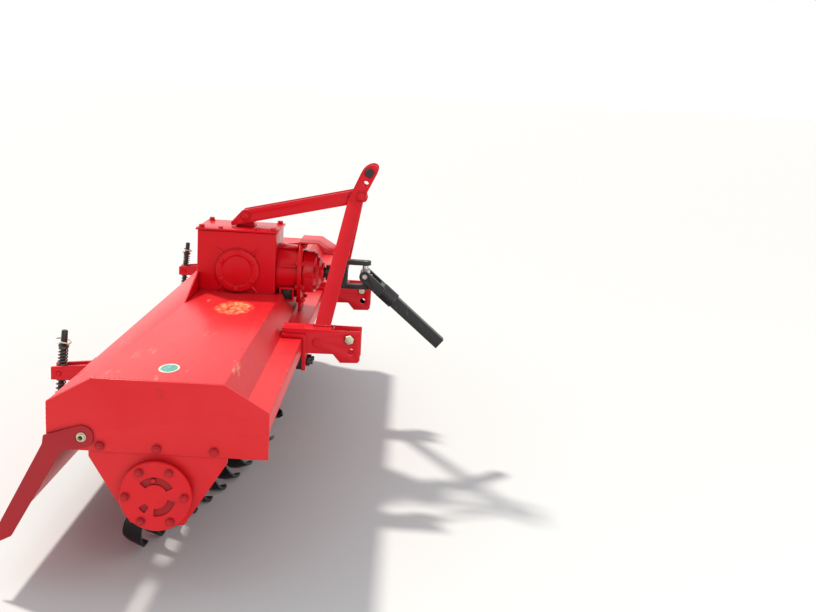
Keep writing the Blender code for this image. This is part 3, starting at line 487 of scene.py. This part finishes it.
def hexHead(size, height, place, direction, turn=0.0, washer=0.0, stud=0.0, studRadius=0.0):
    # a hexagon head or nut with a chamfered top, its washer and its stud's end
    form = bmesh.new()
    bmesh.ops.create_cone(form, cap_ends=True, segments=6, radius1=size, radius2=size, depth=height)
    bmesh.ops.translate(form, vec=(0, 0, height / 2 + washer), verts=form.verts)
    top = [edge for edge in form.edges if all(v.co.z > height * 0.9 + washer for v in edge.verts)]
    bmesh.ops.bevel(form, geom=top, offset=size * 0.14, offset_type="OFFSET", affect="EDGES", segments=2,
                    profile=0.5, material=-1)
    bmesh.ops.rotate(form, cent=(0, 0, 0), matrix=Matrix.Rotation(turn, 3, "Z"), verts=form.verts)
    if washer:
        edge = size * 1.28
        absorb(form, spun(((0, 0), (0, edge), (washer * 0.7, edge), (washer, edge * 0.97), (washer, 0)), "Z",
                          (0, 0, 0), 20))
    if stud:
        top = height + washer
        absorb(form, spun(((top - 0.001, 0), (top - 0.001, studRadius), (top + stud * 0.7, studRadius),
                           (top + stud, studRadius * 0.75), (top + stud, 0)), "Z", (0, 0, 0), 14))
    bmesh.ops.transform(form, matrix=facing(place, direction), verts=form.verts)
    return form


def mirrorForm(form, sign):
    if sign < 0:
        bmesh.ops.scale(form, vec=(-1, 1, 1), verts=form.verts)
        bmesh.ops.reverse_faces(form, faces=form.faces)
    return form


# hood, end plates and beam
hoodLook = {"round": 0.0022, "plateRound": 0.0014, "beadSize": 0.0030, "boltSize": 0.0094,
            "boltHeight": 0.0070,
            "boltRow": (-0.132, -0.001, 0.131), "boltLift": 0.1100, "hinge": (-0.172, 0.131)}
hoodLine = ((-0.2555, 0.150), (-0.2555, 0.2085), (-0.152, 0.270), (0.150, 0.270), (0.190, 0.2085),
            (0.2545, 0.2085))
soften("hood", "frame", hoodLook["round"], "hoodPaint", 3)
soften("front_beam", "frame", 0.003, "sheetPaint", 3)
for side, sign in sides:
    soften("end_plate_" + side, "frame", hoodLook["plateRound"])
    soften("bearing_plate_" + side, "frame", 0.0016)
    form = bmesh.new()
    for y in hoodLook["boltRow"]:
        absorb(form, hexHead(hoodLook["boltSize"], hoodLook["boltHeight"],
                             (endFace, y, hoodLook["boltLift"]), (1, 0, 0),
                             0.4 + y * 3, 0.0014, 0.004, 0.0048))
    addPiece("end_plate_bolts_" + side, mirrorForm(form, sign), "frame", "boltPaint")
    form = bmesh.new()
    for (y0, z0), (y1, z1) in zip(hoodLine, hoodLine[1:]):
        x = endFace - 0.0065
        absorb(form, bead((x, y0, z0 - 0.001), (x, y1, z1 - 0.001), hoodLook["beadSize"] * 0.75, y0 * 9))
    addPiece("hood_weld_" + side, mirrorForm(form, sign), "frame", "hoodPaint")
    face = endFace + 0.0082
    form = spun(((face, 0.0), (face, 0.0112), (face + 0.0018, 0.0112), (face + 0.0020, 0.0092),
                 (face + 0.0078, 0.0090),
                 (face + 0.0088, 0.0080), (face + 0.0088, 0.0058), (face + 0.0040, 0.0054),
                 (face + 0.0040, 0.0)), "X",
                (0, *hoodLook["hinge"]), 32)
    addPiece("hinge_bolt_" + side, mirrorForm(form, sign), "frame", "zincPlate")
    form = spun(((face + 0.0030, 0.0), (face + 0.0042, 0.0050), (face + 0.0052, 0.0040),
                 (face + 0.0052, 0.0)), "X",
                (0, *hoodLook["hinge"]), 12)
    addPiece("hinge_socket_" + side, mirrorForm(form, sign), "frame", "blackPaint")
form = bmesh.new()
bmesh.ops.create_circle(form, cap_ends=True, segments=48, radius=1.0)
bmesh.ops.scale(form, vec=(*sticker["half"], 1), verts=form.verts)
grown = bmesh.ops.extrude_face_region(form, geom=form.faces[:])["geom"]
pushed(form, grown, (0, 0, sticker["thick"]))
bmesh.ops.translate(form, vec=sticker["centre"], verts=form.verts)
addPiece("oval_sticker", form, "frame", "tealSticker")
print("hood and end plates done")


# bearing covers
cover = {"seat": 1.154, "hub": 0.066, "step": 1.166, "rim": 0.084, "face": 1.180, "boss": 0.0295,
         "pocketOut": 0.0475,
         "pocketDepth": 0.0060, "bolts": 6, "boltCircle": 0.0685, "boltSize": 0.0086, "steps": 96}


def pocketedDisc(spans, sign):
    # the cover's face: a ring of cells, those inside a span of degrees sunk as a pocket
    steps = cover["steps"]
    face = cover["face"]
    form = spun(((cover["seat"], 0.0), (cover["seat"], cover["hub"]), (cover["step"], cover["hub"]),
                 (cover["step"], cover["rim"] - 0.002), (cover["step"] + 0.002, cover["rim"]),
                 (face - 0.0025, cover["rim"]), (face, cover["rim"] - 0.0025), (face, cover["pocketOut"]),
                 (face, cover["boss"]), (face, 0.0)), "X", (0, 0, 0), steps)
    sunk = []
    for cell in form.faces:
        middle = cell.calc_center_median()
        reach = math.hypot(middle.y, middle.z)
        angle = math.degrees(math.atan2(middle.z, middle.y)) % 360
        if middle.x > face - 1e-4 and cover["boss"] < reach < cover["pocketOut"]:
            if any((angle - start) % 360 < width for start, width in spans):
                sunk.append(cell)
    grown = bmesh.ops.extrude_face_region(form, geom=sunk)["geom"]
    pushed(form, grown, (-cover["pocketDepth"], 0, 0))
    bmesh.ops.delete(form, geom=sunk, context="FACES")
    bmesh.ops.recalc_face_normals(form, faces=form.faces)
    bevelled(form, 0.0011, 2, 50)
    return mirrorForm(form, sign)


for side, sign in sides:
    form = pocketedDisc(((30, 108), (268, 82), (218, 22)), 1)
    absorb(form, spun(((cover["face"] - 0.005, 0), (cover["face"] - 0.005, 0.0052),
                       (cover["face"] - 0.001, 0.0050),
                       (cover["face"] + 0.0005, 0.0030), (cover["face"] + 0.0025, 0.0026),
                       (cover["face"] + 0.003, 0)),
                      "X", (0, -0.005, 0.0385), 16))
    addPiece("bearing_cover_shaped_" + side, mirrorForm(form, sign), "frame", "coverPaint",
             ("bearing_cover_" + side,))
    form = bmesh.new()
    for i in range(cover["bolts"]):
        angle = math.radians(62 + 60 * i)
        spotAt = (cover["face"], cover["boltCircle"] * math.cos(angle), cover["boltCircle"] * math.sin(angle))
        absorb(form, hexHead(cover["boltSize"], 0.0072, spotAt, (1, 0, 0), i * 0.7, 0.0016, 0.0042, 0.005))
    addPiece("bearing_cover_nuts_" + side, mirrorForm(form, sign), "frame", "boltPaint")
print("bearing covers done")


# gearbox
gear = {"halfWidth": 0.103, "rear": -0.122, "front": 0.1295, "low": 0.2703, "lidTop": 0.475,
        "coverAt": (0.0085, 0.343)}
soften("gearbox_case", "frame", 0.0035, "castPaint", 3)
soften("gearbox_lid", "frame", 0.0018, "castPaint", 2)
soften("brace_lug", "frame", 0.0016, "castPaint", 2)
for side, sign in sides:
    soften("gearbox_gusset_" + side, "frame", 0.0012, "castPaint", 1)
    coverY, coverZ = gear["coverAt"]
    base = gear["halfWidth"]
    form = spun(((base, 0.0), (base, 0.0705), (base + 0.009, 0.0705), (base + 0.0125, 0.0680),
                 (base + 0.014, 0.0640),
                 (base + 0.014, 0.0510), (base + 0.0125, 0.0490), (base + 0.0100, 0.0480),
                 (base + 0.0098, 0.0455),
                 (base + 0.0105, 0.0430), (base + 0.0105, 0.0)), "X", (0, coverY, coverZ), 96)
    for i in range(6):
        angle = math.radians(28 + 60 * i)
        at = (base + 0.0115, coverY + 0.0585 * math.cos(angle), coverZ + 0.0585 * math.sin(angle))
        absorb(form, hexHead(0.0082, 0.0055, at, (1, 0, 0), i * 0.5, 0.001))
    addPiece("gearbox_cover_shaped_" + side, mirrorForm(form, sign), "frame", "castPaint",
             ("gearbox_side_cover_" + side,))
    form = bmesh.new()
    for angle in (47, 133, 227, 313):
        turn = math.radians(angle)
        along = Vector((0, math.cos(turn), math.sin(turn)))
        middle = Vector((base, coverY, coverZ))
        points = [middle + along * reach for reach in (0.060, 0.070, 0.082, 0.092, 0.0985)]
        absorb(form, wireForm(points, 0.0052, 10, (1.0, 1.0, 0.95, 0.8, 0.3), (1, 0, 0)))
    # weld along the case's foot
    absorb(form, bead((base, gear["rear"], gear["low"] + 0.001), (base, gear["front"], gear["low"] + 0.001),
                      0.0038, 1.0))
    addPiece("gearbox_ribs_" + side, mirrorForm(form, sign), "frame", "castPaint")
form = bmesh.new()
for x in (-0.092, 0.092):
    for y in (-0.111, 0.1185):
        absorb(form, hexHead(0.0092, 0.0085, (x, y, gear["lidTop"]), (0, 0, 1), x + y, 0.0014))
for x, y in ((-0.092, 0.004), (0.092, 0.060), (0.092, -0.050)):
    absorb(form, hexHead(0.0075, 0.005, (x, y, gear["lidTop"]), (0, 0, 1), y * 20, 0.001))
addPiece("gearbox_lid_bolts", form, "frame", "castPaint")
print("gearbox done")


# input bell, nose and shield
bell = {"height": 0.334, "rear": 0.1298, "front": 0.200, "flangeFront": 0.212}
form = bevelled(nodeForm("input_bell"), 0.0022, 2, 40)
addPiece("input_bell_shaped", form, "frame", "castPaint", ("input_bell",), shift=False,
         fresh=False)
form = bmesh.new()
for i in range(8):
    angle = math.radians(22.5 + 45 * i)
    ring = 0.0975
    at = (ring * math.cos(angle), bell["flangeFront"], bell["height"] + ring * math.sin(angle))
    absorb(form, hexHead(0.0088, 0.0068, at, (0, 1, 0), i * 0.4, 0.001, 0.004, 0.0045))
    back = (at[0], bell["front"], at[2])
    absorb(form, hexHead(0.0088, 0.006, back, (0, -1, 0), i * 0.3))
addPiece("input_flange_bolts", form, "frame", "castPaint")
form = bmesh.new()
for angle in (-28, 18, 62, 118, 162, 208):
    turn = math.radians(angle)
    reach = Vector((math.cos(turn), 0, math.sin(turn)))
    inner = Vector((0, bell["rear"], bell["height"])) + reach * 0.0905
    outer = Vector((0, bell["front"], bell["height"])) + reach * 0.0875
    tall = Vector((0, bell["front"], bell["height"])) + reach * 0.100
    rib = bmesh.new()
    corners = [rib.verts.new(point) for point in (inner, outer, tall)]
    flat = rib.faces.new(corners)
    grown = bmesh.ops.extrude_face_region(rib, geom=[flat])["geom"]
    thick = Vector((-reach.z, 0, reach.x)) * 0.006
    pushed(rib, grown, thick)
    bmesh.ops.translate(rib, vec=-thick / 2, verts=rib.verts)
    bmesh.ops.recalc_face_normals(rib, faces=rib.faces)
    absorb(form, bevelled(rib, 0.0012, 2))
addPiece("input_bell_ribs", form, "frame", "castPaint")
window = {"low": (0.060, 0.1435, 0.246), "high": (0.0905, 0.1895, 0.292), "wall": 0.0045, "depth": 0.022}
for side, sign in sides:
    form = slab(window["low"], window["high"])
    outer = [face for face in form.faces if face.calc_center_median().x > window["high"][0] - 1e-4]
    bmesh.ops.inset_region(form, faces=outer, thickness=window["wall"], use_even_offset=True)
    grown = bmesh.ops.extrude_face_region(form, geom=outer)["geom"]
    pushed(form, grown, (-window["depth"], 0, 0))
    bmesh.ops.delete(form, geom=outer, context="FACES")
    bmesh.ops.recalc_face_normals(form, faces=form.faces)
    bevelled(form, 0.0015, 2)
    addPiece("bell_window_" + side, mirrorForm(form, sign), "frame", "castPaint")
    # a black sheet at the window's floor: painted shade for the dark inside of the opening in the casting
    low, high, wall = Vector(window["low"]), Vector(window["high"]), window["wall"] + 0.002
    depth = high.x - window["depth"]
    form = slab((depth, low.y + wall, low.z + wall), (depth + 0.002, high.y - wall, high.z - wall), 0.0008)
    addPiece("bell_window_dark_" + side, mirrorForm(form, sign), "frame", "blackPaint")
nose = ((0.2123, 0), (0.2123, 0.0695), (0.2140, 0.0715), (0.2220, 0.0715), (0.2260, 0.0695), (0.2440, 0.0690),
        (0.2500, 0.0670), (0.2540, 0.0620), (0.2560, 0.0560), (0.2600, 0.0530), (0.2660, 0.0490),
        (0.2700, 0.0380),
        (0.2725, 0.0345), (0.2790, 0.0325), (0.2805, 0.0300), (0.2805, 0.0190), (0.2700, 0.0190),
        (0.2700, 0.0))
form = spun(nose, "Y", (0, 0, bell["height"]), 64)
for i in range(6):
    angle = math.radians(15 + 60 * i)
    at = (0.0600 * math.cos(angle), 0.2535, bell["height"] + 0.0600 * math.sin(angle))
    absorb(form, hexHead(0.0072, 0.0055, at, (0, 1, 0.0), i * 0.6, 0.0008))
addPiece("input_nose_shaped", form, "frame", "castPaint", ("input_nose",))
soften("pto_shield", "frame", 0.0009, "barPaint", 2)
soften("lower_gear_case", "frame", 0.003, "castPaint", 2)
soften("centre_share", "frame", 0.002, "bladeSteel", 2)
print("input side done")


# hitch brackets, mast and brace
hitch = {"x": 0.380, "outer": 0.037, "pinAt": (0.3936, 0.2118), "topPin": (0.4149, 0.674)}
for side, sign in sides:
    soften("hitch_bracket_" + side, "frame", 0.0013, "barPaint", 2)
    soften("hitch_clamp_" + side, "frame", 0.0012, "blackPaint", 2)
    soften("mast_leg_" + side, "frame", 0.0012, "barPaint", 2)
    soften("brace_" + side, "frame", 0.0012, "barPaint", 2)
    outer = hitch["x"] + hitch["outer"]
    pinY, pinZ = hitch["pinAt"]
    tail = hitch["x"] - hitch["outer"] - 0.010
    form = spun(((tail, 0), (tail, 0.009), (tail + 0.002, 0.011), (outer + 0.001, 0.011),
                 (outer + 0.001, 0.0)), "X",
                (0, pinY, pinZ), 32)
    absorb(form, hexHead(0.0146, 0.0108, (outer + 0.0003, pinY, pinZ), (1, 0, 0), 0.3))
    absorb(form, spun(((outer + 0.0108, 0.0), (outer + 0.0108, 0.0035), (outer + 0.0116, 0.0030),
                       (outer + 0.0116, 0.0)),
                      "X", (0, pinY, pinZ), 16))
    addPiece("hitch_pin_shaped_" + side, mirrorForm(form, sign), "frame", "zincPlate",
             ("hitch_pin_" + side,))
    form = spun(((outer, 0), (outer, 0.0135), (outer + 0.0025, 0.0135), (outer + 0.0045, 0.0115),
                 (outer + 0.005, 0)), "X",
                (0, 0.299, 0.197), 24)
    absorb(form, bead((outer, 0.262, 0.2065), (outer, 0.262, 0.168), 0.0032, 2.0),
           bead((outer, 0.214, 0.2225), (outer, 0.262, 0.2225), 0.0030, 0.5),
           bead((outer - 0.008, 0.344, 0.2365), (outer - 0.066, 0.344, 0.2365), 0.0026, 1.2))
    addPiece("hitch_welds_" + side, mirrorForm(form, sign), "frame", "barPaint")
    # weld around the foot of the mast leg
    form = bmesh.new()
    foot = Vector((0.360, 0.309, 0.2363))
    for offset in (-0.026, 0.026):
        absorb(form, bead(foot + Vector((-0.007, offset, 0.001)), foot + Vector((0.007, offset, 0.001)),
                          0.0030, offset * 50))
    absorb(form, bead(foot + Vector((0.0075, -0.024, 0.001)), foot + Vector((0.0075, 0.024, 0.001)), 0.0034,
                      0.4))
    addPiece("mast_foot_weld_" + side, mirrorForm(form, sign), "frame", "barPaint")
form = bmesh.new()
topY, topZ = hitch["topPin"]
absorb(form, spun(((-0.0623, 0), (-0.0623, 0.0075), (-0.0605, 0.0095), (0.0465, 0.0095), (0.0465, 0.0125),
                   (0.0480, 0.0140),
                   (0.0525, 0.0140), (0.0545, 0.0120), (0.0545, 0.0)), "X", (0, topY, topZ), 32))
points = [(-0.0565, topY + 0.012 * math.cos(t), topZ - 0.006 + 0.012 * math.sin(t)) for t in
          [math.tau * i / 20 for i in range(18)]]
absorb(form, wireForm(points, 0.0014, 6))
addPiece("top_link_pin_shaped", form, "frame", "blackPaint", ("top_link_pin",))
braceY, braceZ = 0.3907, 0.5976
form = spun(((-0.054, 0), (-0.054, 0.008), (0.054, 0.008), (0.054, 0)), "X", (0, braceY, braceZ), 24)
absorb(form, spun(((-0.0252, 0.0078), (-0.0252, 0.016), (0.0252, 0.016), (0.0252, 0.0078)), "X",
                  (0, braceY, braceZ), 32))
for sign in (1, -1):
    absorb(form, hexHead(0.0132, 0.0082, (sign * 0.0463, braceY, braceZ), (sign, 0, 0), 0.25, 0.0016))
addPiece("brace_front_bolt_shaped", form, "frame", "barPaint", ("brace_front_bolt",))
form = bmesh.new()
for sign in (1, -1):
    absorb(form, hexHead(0.0130, 0.0078, (sign * 0.0360, 0.0193, 0.5096), (sign, 0, 0), 0.1, 0.0016))
addPiece("brace_rear_nuts", form, "frame", "castPaint")
print("hitch and mast done")


# universal joint and drive shaft
soften("input_yoke", "input", 0.0022, "blackPaint", 3)
soften("drive_shaft", "drive_half", 0.0022, "blackPaint", 3)
joint = Vector((0, 0.416, 0.334))
form = bmesh.new()
for axis in "XZ":
    cap = 0.0462
    absorb(form, spun(((-cap, 0), (-cap, 0.0075), (-cap + 0.0015, 0.0092), (-0.0335, 0.0092),
                       (-0.0325, 0.0098), (-0.020, 0.0098),
                       (-0.018, 0.0085), (0.018, 0.0085), (0.020, 0.0098), (0.0325, 0.0098), (0.0335, 0.0092),
                       (cap - 0.0015, 0.0092), (cap, 0.0075), (cap, 0)), axis, joint, 32))
absorb(form, slab(joint - Vector((0.016, 0.0155, 0.016)), joint + Vector((0.016, 0.0155, 0.016)), 0.004, 3))
absorb(form, spun(((0.014, 0), (0.014, 0.0035), (0.019, 0.0035), (0.0205, 0.0022), (0.024, 0.0022),
                   (0.024, 0)), "Y", joint, 12))
addPiece("universal_cross_shaped", form, "cross", "bareSteel", ("universal_cross",))
print("drive shaft done")


# rotor: tube, gangs of two discs, blades
rotor = {"outerDisc": 0.970, "pitch": 0.088, "discs": 10, "perGang": 2, "start": -35.0, "step": 6.0,
         "discRadius": 0.092,
         "discThick": 0.008, "sleeve": 0.050, "pastDisc": 0.020, "bore": 0.0425, "bladeThick": 0.008,
         "bladeSeat": 0.006,
         "sections": 26}
bladeShape = (      # radius, sideways, bend (degrees), lag (degrees), width
    (0.058, 0.000, 0.0, 0.0, 0.044),
    (0.172, 0.000, 0.0, 2.0, 0.046),
    (0.222, 0.004, 25.0, 6.0, 0.054),
    (0.2445, 0.020, 62.0, 10.0, 0.050),
    (0.2505, 0.056, 82.0, 14.0, 0.022),
)


def eased(rows, share):
    # a smooth line through the rows' values
    last = len(rows) - 1
    place = share * last
    i = min(int(place), last - 1)
    t = place - i
    before, here, there, after = rows[max(i - 1, 0)], rows[i], rows[i + 1], rows[min(i + 2, last)]
    return [0.5 * (2 * q + (r - p) * t + (2 * p - 5 * q + 4 * r - s) * t * t
                   + (3 * q - p - 3 * r + s) * t ** 3)
            for p, q, r, s in zip(before, here, there, after)]


def bladeForm(x, angle, side):
    half, sharp = rotor["bladeThick"] / 2, 0.0014
    # a flat section whose leading edge is ground thin
    outline = [(-0.5, -half), (0.30, -half), (0.5, -sharp), (0.5, sharp), (0.30, half), (-0.5, half)]
    frames = []
    for step in range(rotor["sections"] + 1):
        radius, sideways, bend, lag, width = eased(bladeShape, step / rotor["sections"])
        turn, lean = math.radians(angle + lag), math.radians(bend)
        out = Vector((0, math.sin(turn), -math.cos(turn)))
        across = Vector((0, math.cos(turn), math.sin(turn)))
        thick = Vector((side * math.cos(lean), 0, 0)) - out * math.sin(lean)
        middle = Vector((x + side * (rotor["bladeSeat"] + sideways), 0, 0)) + out * radius
        turned = Matrix((across * -width, thick, across.cross(thick))).transposed().to_4x4()
        frames.append(Matrix.Translation(middle) @ turned)
    return lofted(outline, frames)


discBolts = {"size": 0.0102, "height": 0.0080, "reach": (0.066, 0.082)}
for side, sign in sides:
    form = spun(((0.0465, 0), (0.0465, 0.025), (0.0665, 0.025), (0.0665, 0.0415), (0.067, 0.042),
                 (1.137, 0.042), (1.1375, 0.0415),
                 (1.1375, 0.025), (1.152, 0.025), (1.152, 0)), "X", (0, 0, 0), 40)
    addPiece("rotor_tube_shaped_" + side, mirrorForm(form, sign), "rotor", "bladeSteel",
             ("rotor_tube_" + side,))
    for gang in range(rotor["discs"] // rotor["perGang"]):
        discs = range(gang * rotor["perGang"], (gang + 1) * rotor["perGang"])
        places = sorted(rotor["outerDisc"] - disc * rotor["pitch"] for disc in discs)
        half = rotor["discThick"] / 2
        low, high = places[0] - rotor["pastDisc"], places[-1] + rotor["pastDisc"]
        profile = [(low, rotor["bore"]), (low, rotor["sleeve"] - 0.001), (low + 0.001, rotor["sleeve"])]
        for x in places:
            rim = rotor["discRadius"]
            profile += [(x - half - 0.004, rotor["sleeve"]), (x - half, rotor["sleeve"] + 0.004),
                        (x - half, rim - 0.001),
                        (x - half + 0.001, rim), (x + half - 0.001, rim), (x + half, rim - 0.001),
                        (x + half, rotor["sleeve"] + 0.004), (x + half + 0.004, rotor["sleeve"])]
        profile += [(high - 0.001, rotor["sleeve"]), (high, rotor["sleeve"] - 0.001), (high, rotor["bore"])]
        form = spun(profile, "X", (0, 0, 0), 48, closed=True)
        for disc in discs:
            x = rotor["outerDisc"] - disc * rotor["pitch"]
            for blade in range(2):
                angle = rotor["start"] + disc * rotor["step"] + blade * 180
                bend = 1 if blade % 2 else -1
                absorb(form, bladeForm(x, angle, bend))
                turn = math.radians(angle)
                for reach in discBolts["reach"]:
                    at = Vector((0, math.sin(turn), -math.cos(turn))) * reach
                    outerFace = x + bend * (rotor["bladeSeat"] + half)
                    absorb(form, hexHead(discBolts["size"], discBolts["height"], (outerFace, at.y, at.z),
                                         (bend, 0, 0), reach * 20),
                           hexHead(discBolts["size"], 0.006, (x - bend * half, at.y, at.z), (-bend, 0, 0),
                                   reach * 9))
        number = rotor["discs"] // rotor["perGang"] - gang
        addPiece(f"blade_gang_shaped_{side}_{number}", mirrorForm(form, sign), "rotor", "bladeSteel",
                 (f"blade_gang_{side}_{number}",))
print("rotor done")


# trailing board, its arms and the spring rods
board = {"round": 0.0014, "clear": 0.0005}
soften("trailing_board", "board", board["round"], "sheetPaint", 2)
for side, sign in sides:
    # each arm stands a hair further off the end plate, so it swings clear of it
    form = bevelled(nodeForm("board_arm_" + side), board["round"], 2)
    bmesh.ops.translate(form, vec=(sign * board["clear"], 0, 0), verts=form.verts)
    addPiece("board_arm_shaped_" + side, form, "board", "armPaint", ("board_arm_" + side,),
             shift=False,
             fresh=False)
    soften("spring_bracket_" + side, "frame", 0.0012, "barPaint", 2)
    soften("spring_collar_" + side, "collar_" + side, 0.0014, "barPaint", 2)

spring = {"x": 0.780, "eye": (-0.354, -0.005), "collar": (-0.340, 0.172), "rod": 0.0075, "topRise": 0.112,
          "coilRadius": 0.0112,
          "wire": 0.0021, "seatLow": 0.034, "collarHalf": 0.0145}
eye = Vector((spring["x"], *spring["eye"]))
collarAt = Vector((spring["x"], *spring["collar"]))
rodReach = (collarAt - eye).length
rodLean = math.atan2(collarAt.y - eye.y, collarAt.z - eye.z)
rodPlace = Matrix.Translation(eye) @ Matrix.Rotation(-rodLean, 4, "X")
rodTravel = 0.0765
for side, sign in sides:
    body = "rod_" + side
    top = rodReach + spring["topRise"]
    thin = spring["rod"]
    form = spun(((0.012, 0), (0.012, thin), (0.026, thin), (0.026, 0.0150), (0.0335, 0.0150),
                 (0.034, 0.0145), (0.034, thin),
                 (top - 0.044, thin), (top - 0.044, 0.0135), (top - 0.0435, 0.0140), (top - 0.0415, 0.0140),
                 (top - 0.041, 0.0135), (top - 0.041, thin), (top - 0.037, thin), (top - 0.036, 0.0085),
                 (top - 0.003, 0.0082),
                 (top - 0.0008, 0.0068), (top, 0.0045), (top, 0)), "Z", (0, 0, 0), 32)
    absorb(form, spun(((-0.008, 0.0115), (-0.008, 0.0155), (-0.0065, 0.017), (0.0065, 0.017),
                       (0.008, 0.0155), (0.008, 0.0115)),
                      "X", (0, 0, 0), 32, closed=True))
    bmesh.ops.transform(form, matrix=rodPlace, verts=form.verts)
    addPiece("spring_rod_shaped_" + side, mirrorForm(form, sign), body, "blackPaint",
             ("spring_rod_" + side,))
    form = coil(spring["coilRadius"], spring["wire"], rodReach + 0.0155, top - 0.044, 7.2)
    bmesh.ops.transform(form, matrix=rodPlace, verts=form.verts)
    addPiece("upper_coil_" + side, mirrorForm(form, sign), body, "springSteel")
    pin = [(-0.020, 0, -0.003), (-0.008, 0, -0.001), (0.010, 0, 0.002), (0.018, 0, 0.004)]
    hoop = [(0.018 - 0.020 + 0.020 * math.cos(t), 0.0170 * math.sin(t), 0.004 + 0.006 * math.sin(t / 2))
            for t in [math.tau * i / 26 for i in range(25)]]
    form = wireForm([(x, y, z + top - 0.0375) for x, y, z in pin + hoop[1:]], 0.0021, 8, lead=(0, 1, 0))
    bmesh.ops.transform(form, matrix=rodPlace @ Matrix.Rotation(1.2, 4, "Z"), verts=form.verts)
    addPiece("linchpin_" + side, mirrorForm(form, sign), body, "zincPlate")
    springTop = rodReach - spring["collarHalf"] - 0.0005
    form = coil(spring["coilRadius"], spring["wire"], spring["seatLow"] + 0.0003, springTop, 12.2)
    bmesh.ops.transform(form, matrix=rodPlace, verts=form.verts)
    piece = addPiece("lower_coil_" + side, mirrorForm(form, sign), body, "springSteel",
                     ("lower_spring_" + side,))
    seat = rodPlace @ Vector((0, 0, spring["seatLow"])) + rotorAxis
    seat.x *= sign
    free = springTop - spring["seatLow"]
    (free - rodTravel) / free
    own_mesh(piece)
print("board and springs done")


studio = {
    "floorColour": (0.68, 0.68, 0.68),
    "floorReach": 90.0,
    "skyColour": (0.95, 0.98, 1.0),
    "skyStrength": 0.66,
    "keyFrom": (-0.45, -0.45, 0.77),
    "keyStrength": 3.2,
    "keyColour": (1.0, 0.96, 0.88),
    "keySpread": 5.0,       # degrees
    "fillPlace": (5.0, 2.6, 2.6),
    "fillPower": 60.0,
    "fillSize": 3.0,
}


def aimedLamp(name, place, target, power, size):
    data = bpy.data.lights.new(name, "AREA")
    data.shape, data.size, data.energy = "DISK", size, power
    lamp = bpy.data.objects.new(name, data)
    bpy.context.scene.collection.objects.link(lamp)
    lamp.location = place
    lamp.rotation_mode = "QUATERNION"
    lamp.rotation_quaternion = (Vector(target) - Vector(place)).to_track_quat("-Z", "Y")


def addStudio():
    mesh = bpy.data.meshes.new("floor")
    form = bmesh.new()
    bmesh.ops.create_grid(form, x_segments=1, y_segments=1, size=studio["floorReach"])
    form.to_mesh(mesh)
    form.free()
    floor = bpy.data.objects.new("floor", mesh)
    bpy.context.scene.collection.objects.link(floor)
    material, tools, shader = newMaterial("paleFloor")
    feed(tools, shader, Base_Color=(*studio["floorColour"], 1), Roughness=0.9)
    mesh.materials.append(material)

    world = bpy.data.worlds.new("studio")
    bpy.context.scene.world = world
    world.use_nodes = True
    world.node_tree.nodes.clear()
    tools = Wire(world.node_tree)
    sky = tools.node("Background", None, {"Color": (*studio["skyColour"], 1),
                                          "Strength": studio["skyStrength"]})
    white = tools.node("Background", None, {"Color": (1, 1, 1, 1), "Strength": 1.0})
    seen = tools.node("LightPath", out=0)
    glossy = tools.node("LightPath", out=3)
    clear = tools.node("LightPath", out=6)
    direct = tools.calc("MAXIMUM", seen, tools.calc("MAXIMUM", glossy, clear))
    both = tools.node("MixShader", None, {0: direct, 1: sky, 2: white})
    output = world.node_tree.nodes.new("ShaderNodeOutputWorld")
    world.node_tree.links.new(both.socket, output.inputs[0])

    data = bpy.data.lights.new("key", "SUN")
    data.energy, data.color = studio["keyStrength"], studio["keyColour"]
    data.angle = math.radians(studio["keySpread"])
    key = bpy.data.objects.new("key", data)
    bpy.context.scene.collection.objects.link(key)
    key.rotation_mode = "QUATERNION"
    key.rotation_quaternion = Vector(studio["keyFrom"]).to_track_quat("Z", "Y")
    aimedLamp("fill", studio["fillPlace"], (0.5, 0, 0.4), studio["fillPower"], studio["fillSize"])


addCamera()
addStudio()
bpy.context.scene.view_settings.view_transform = "Standard"
print("camera, floor and lamps set")
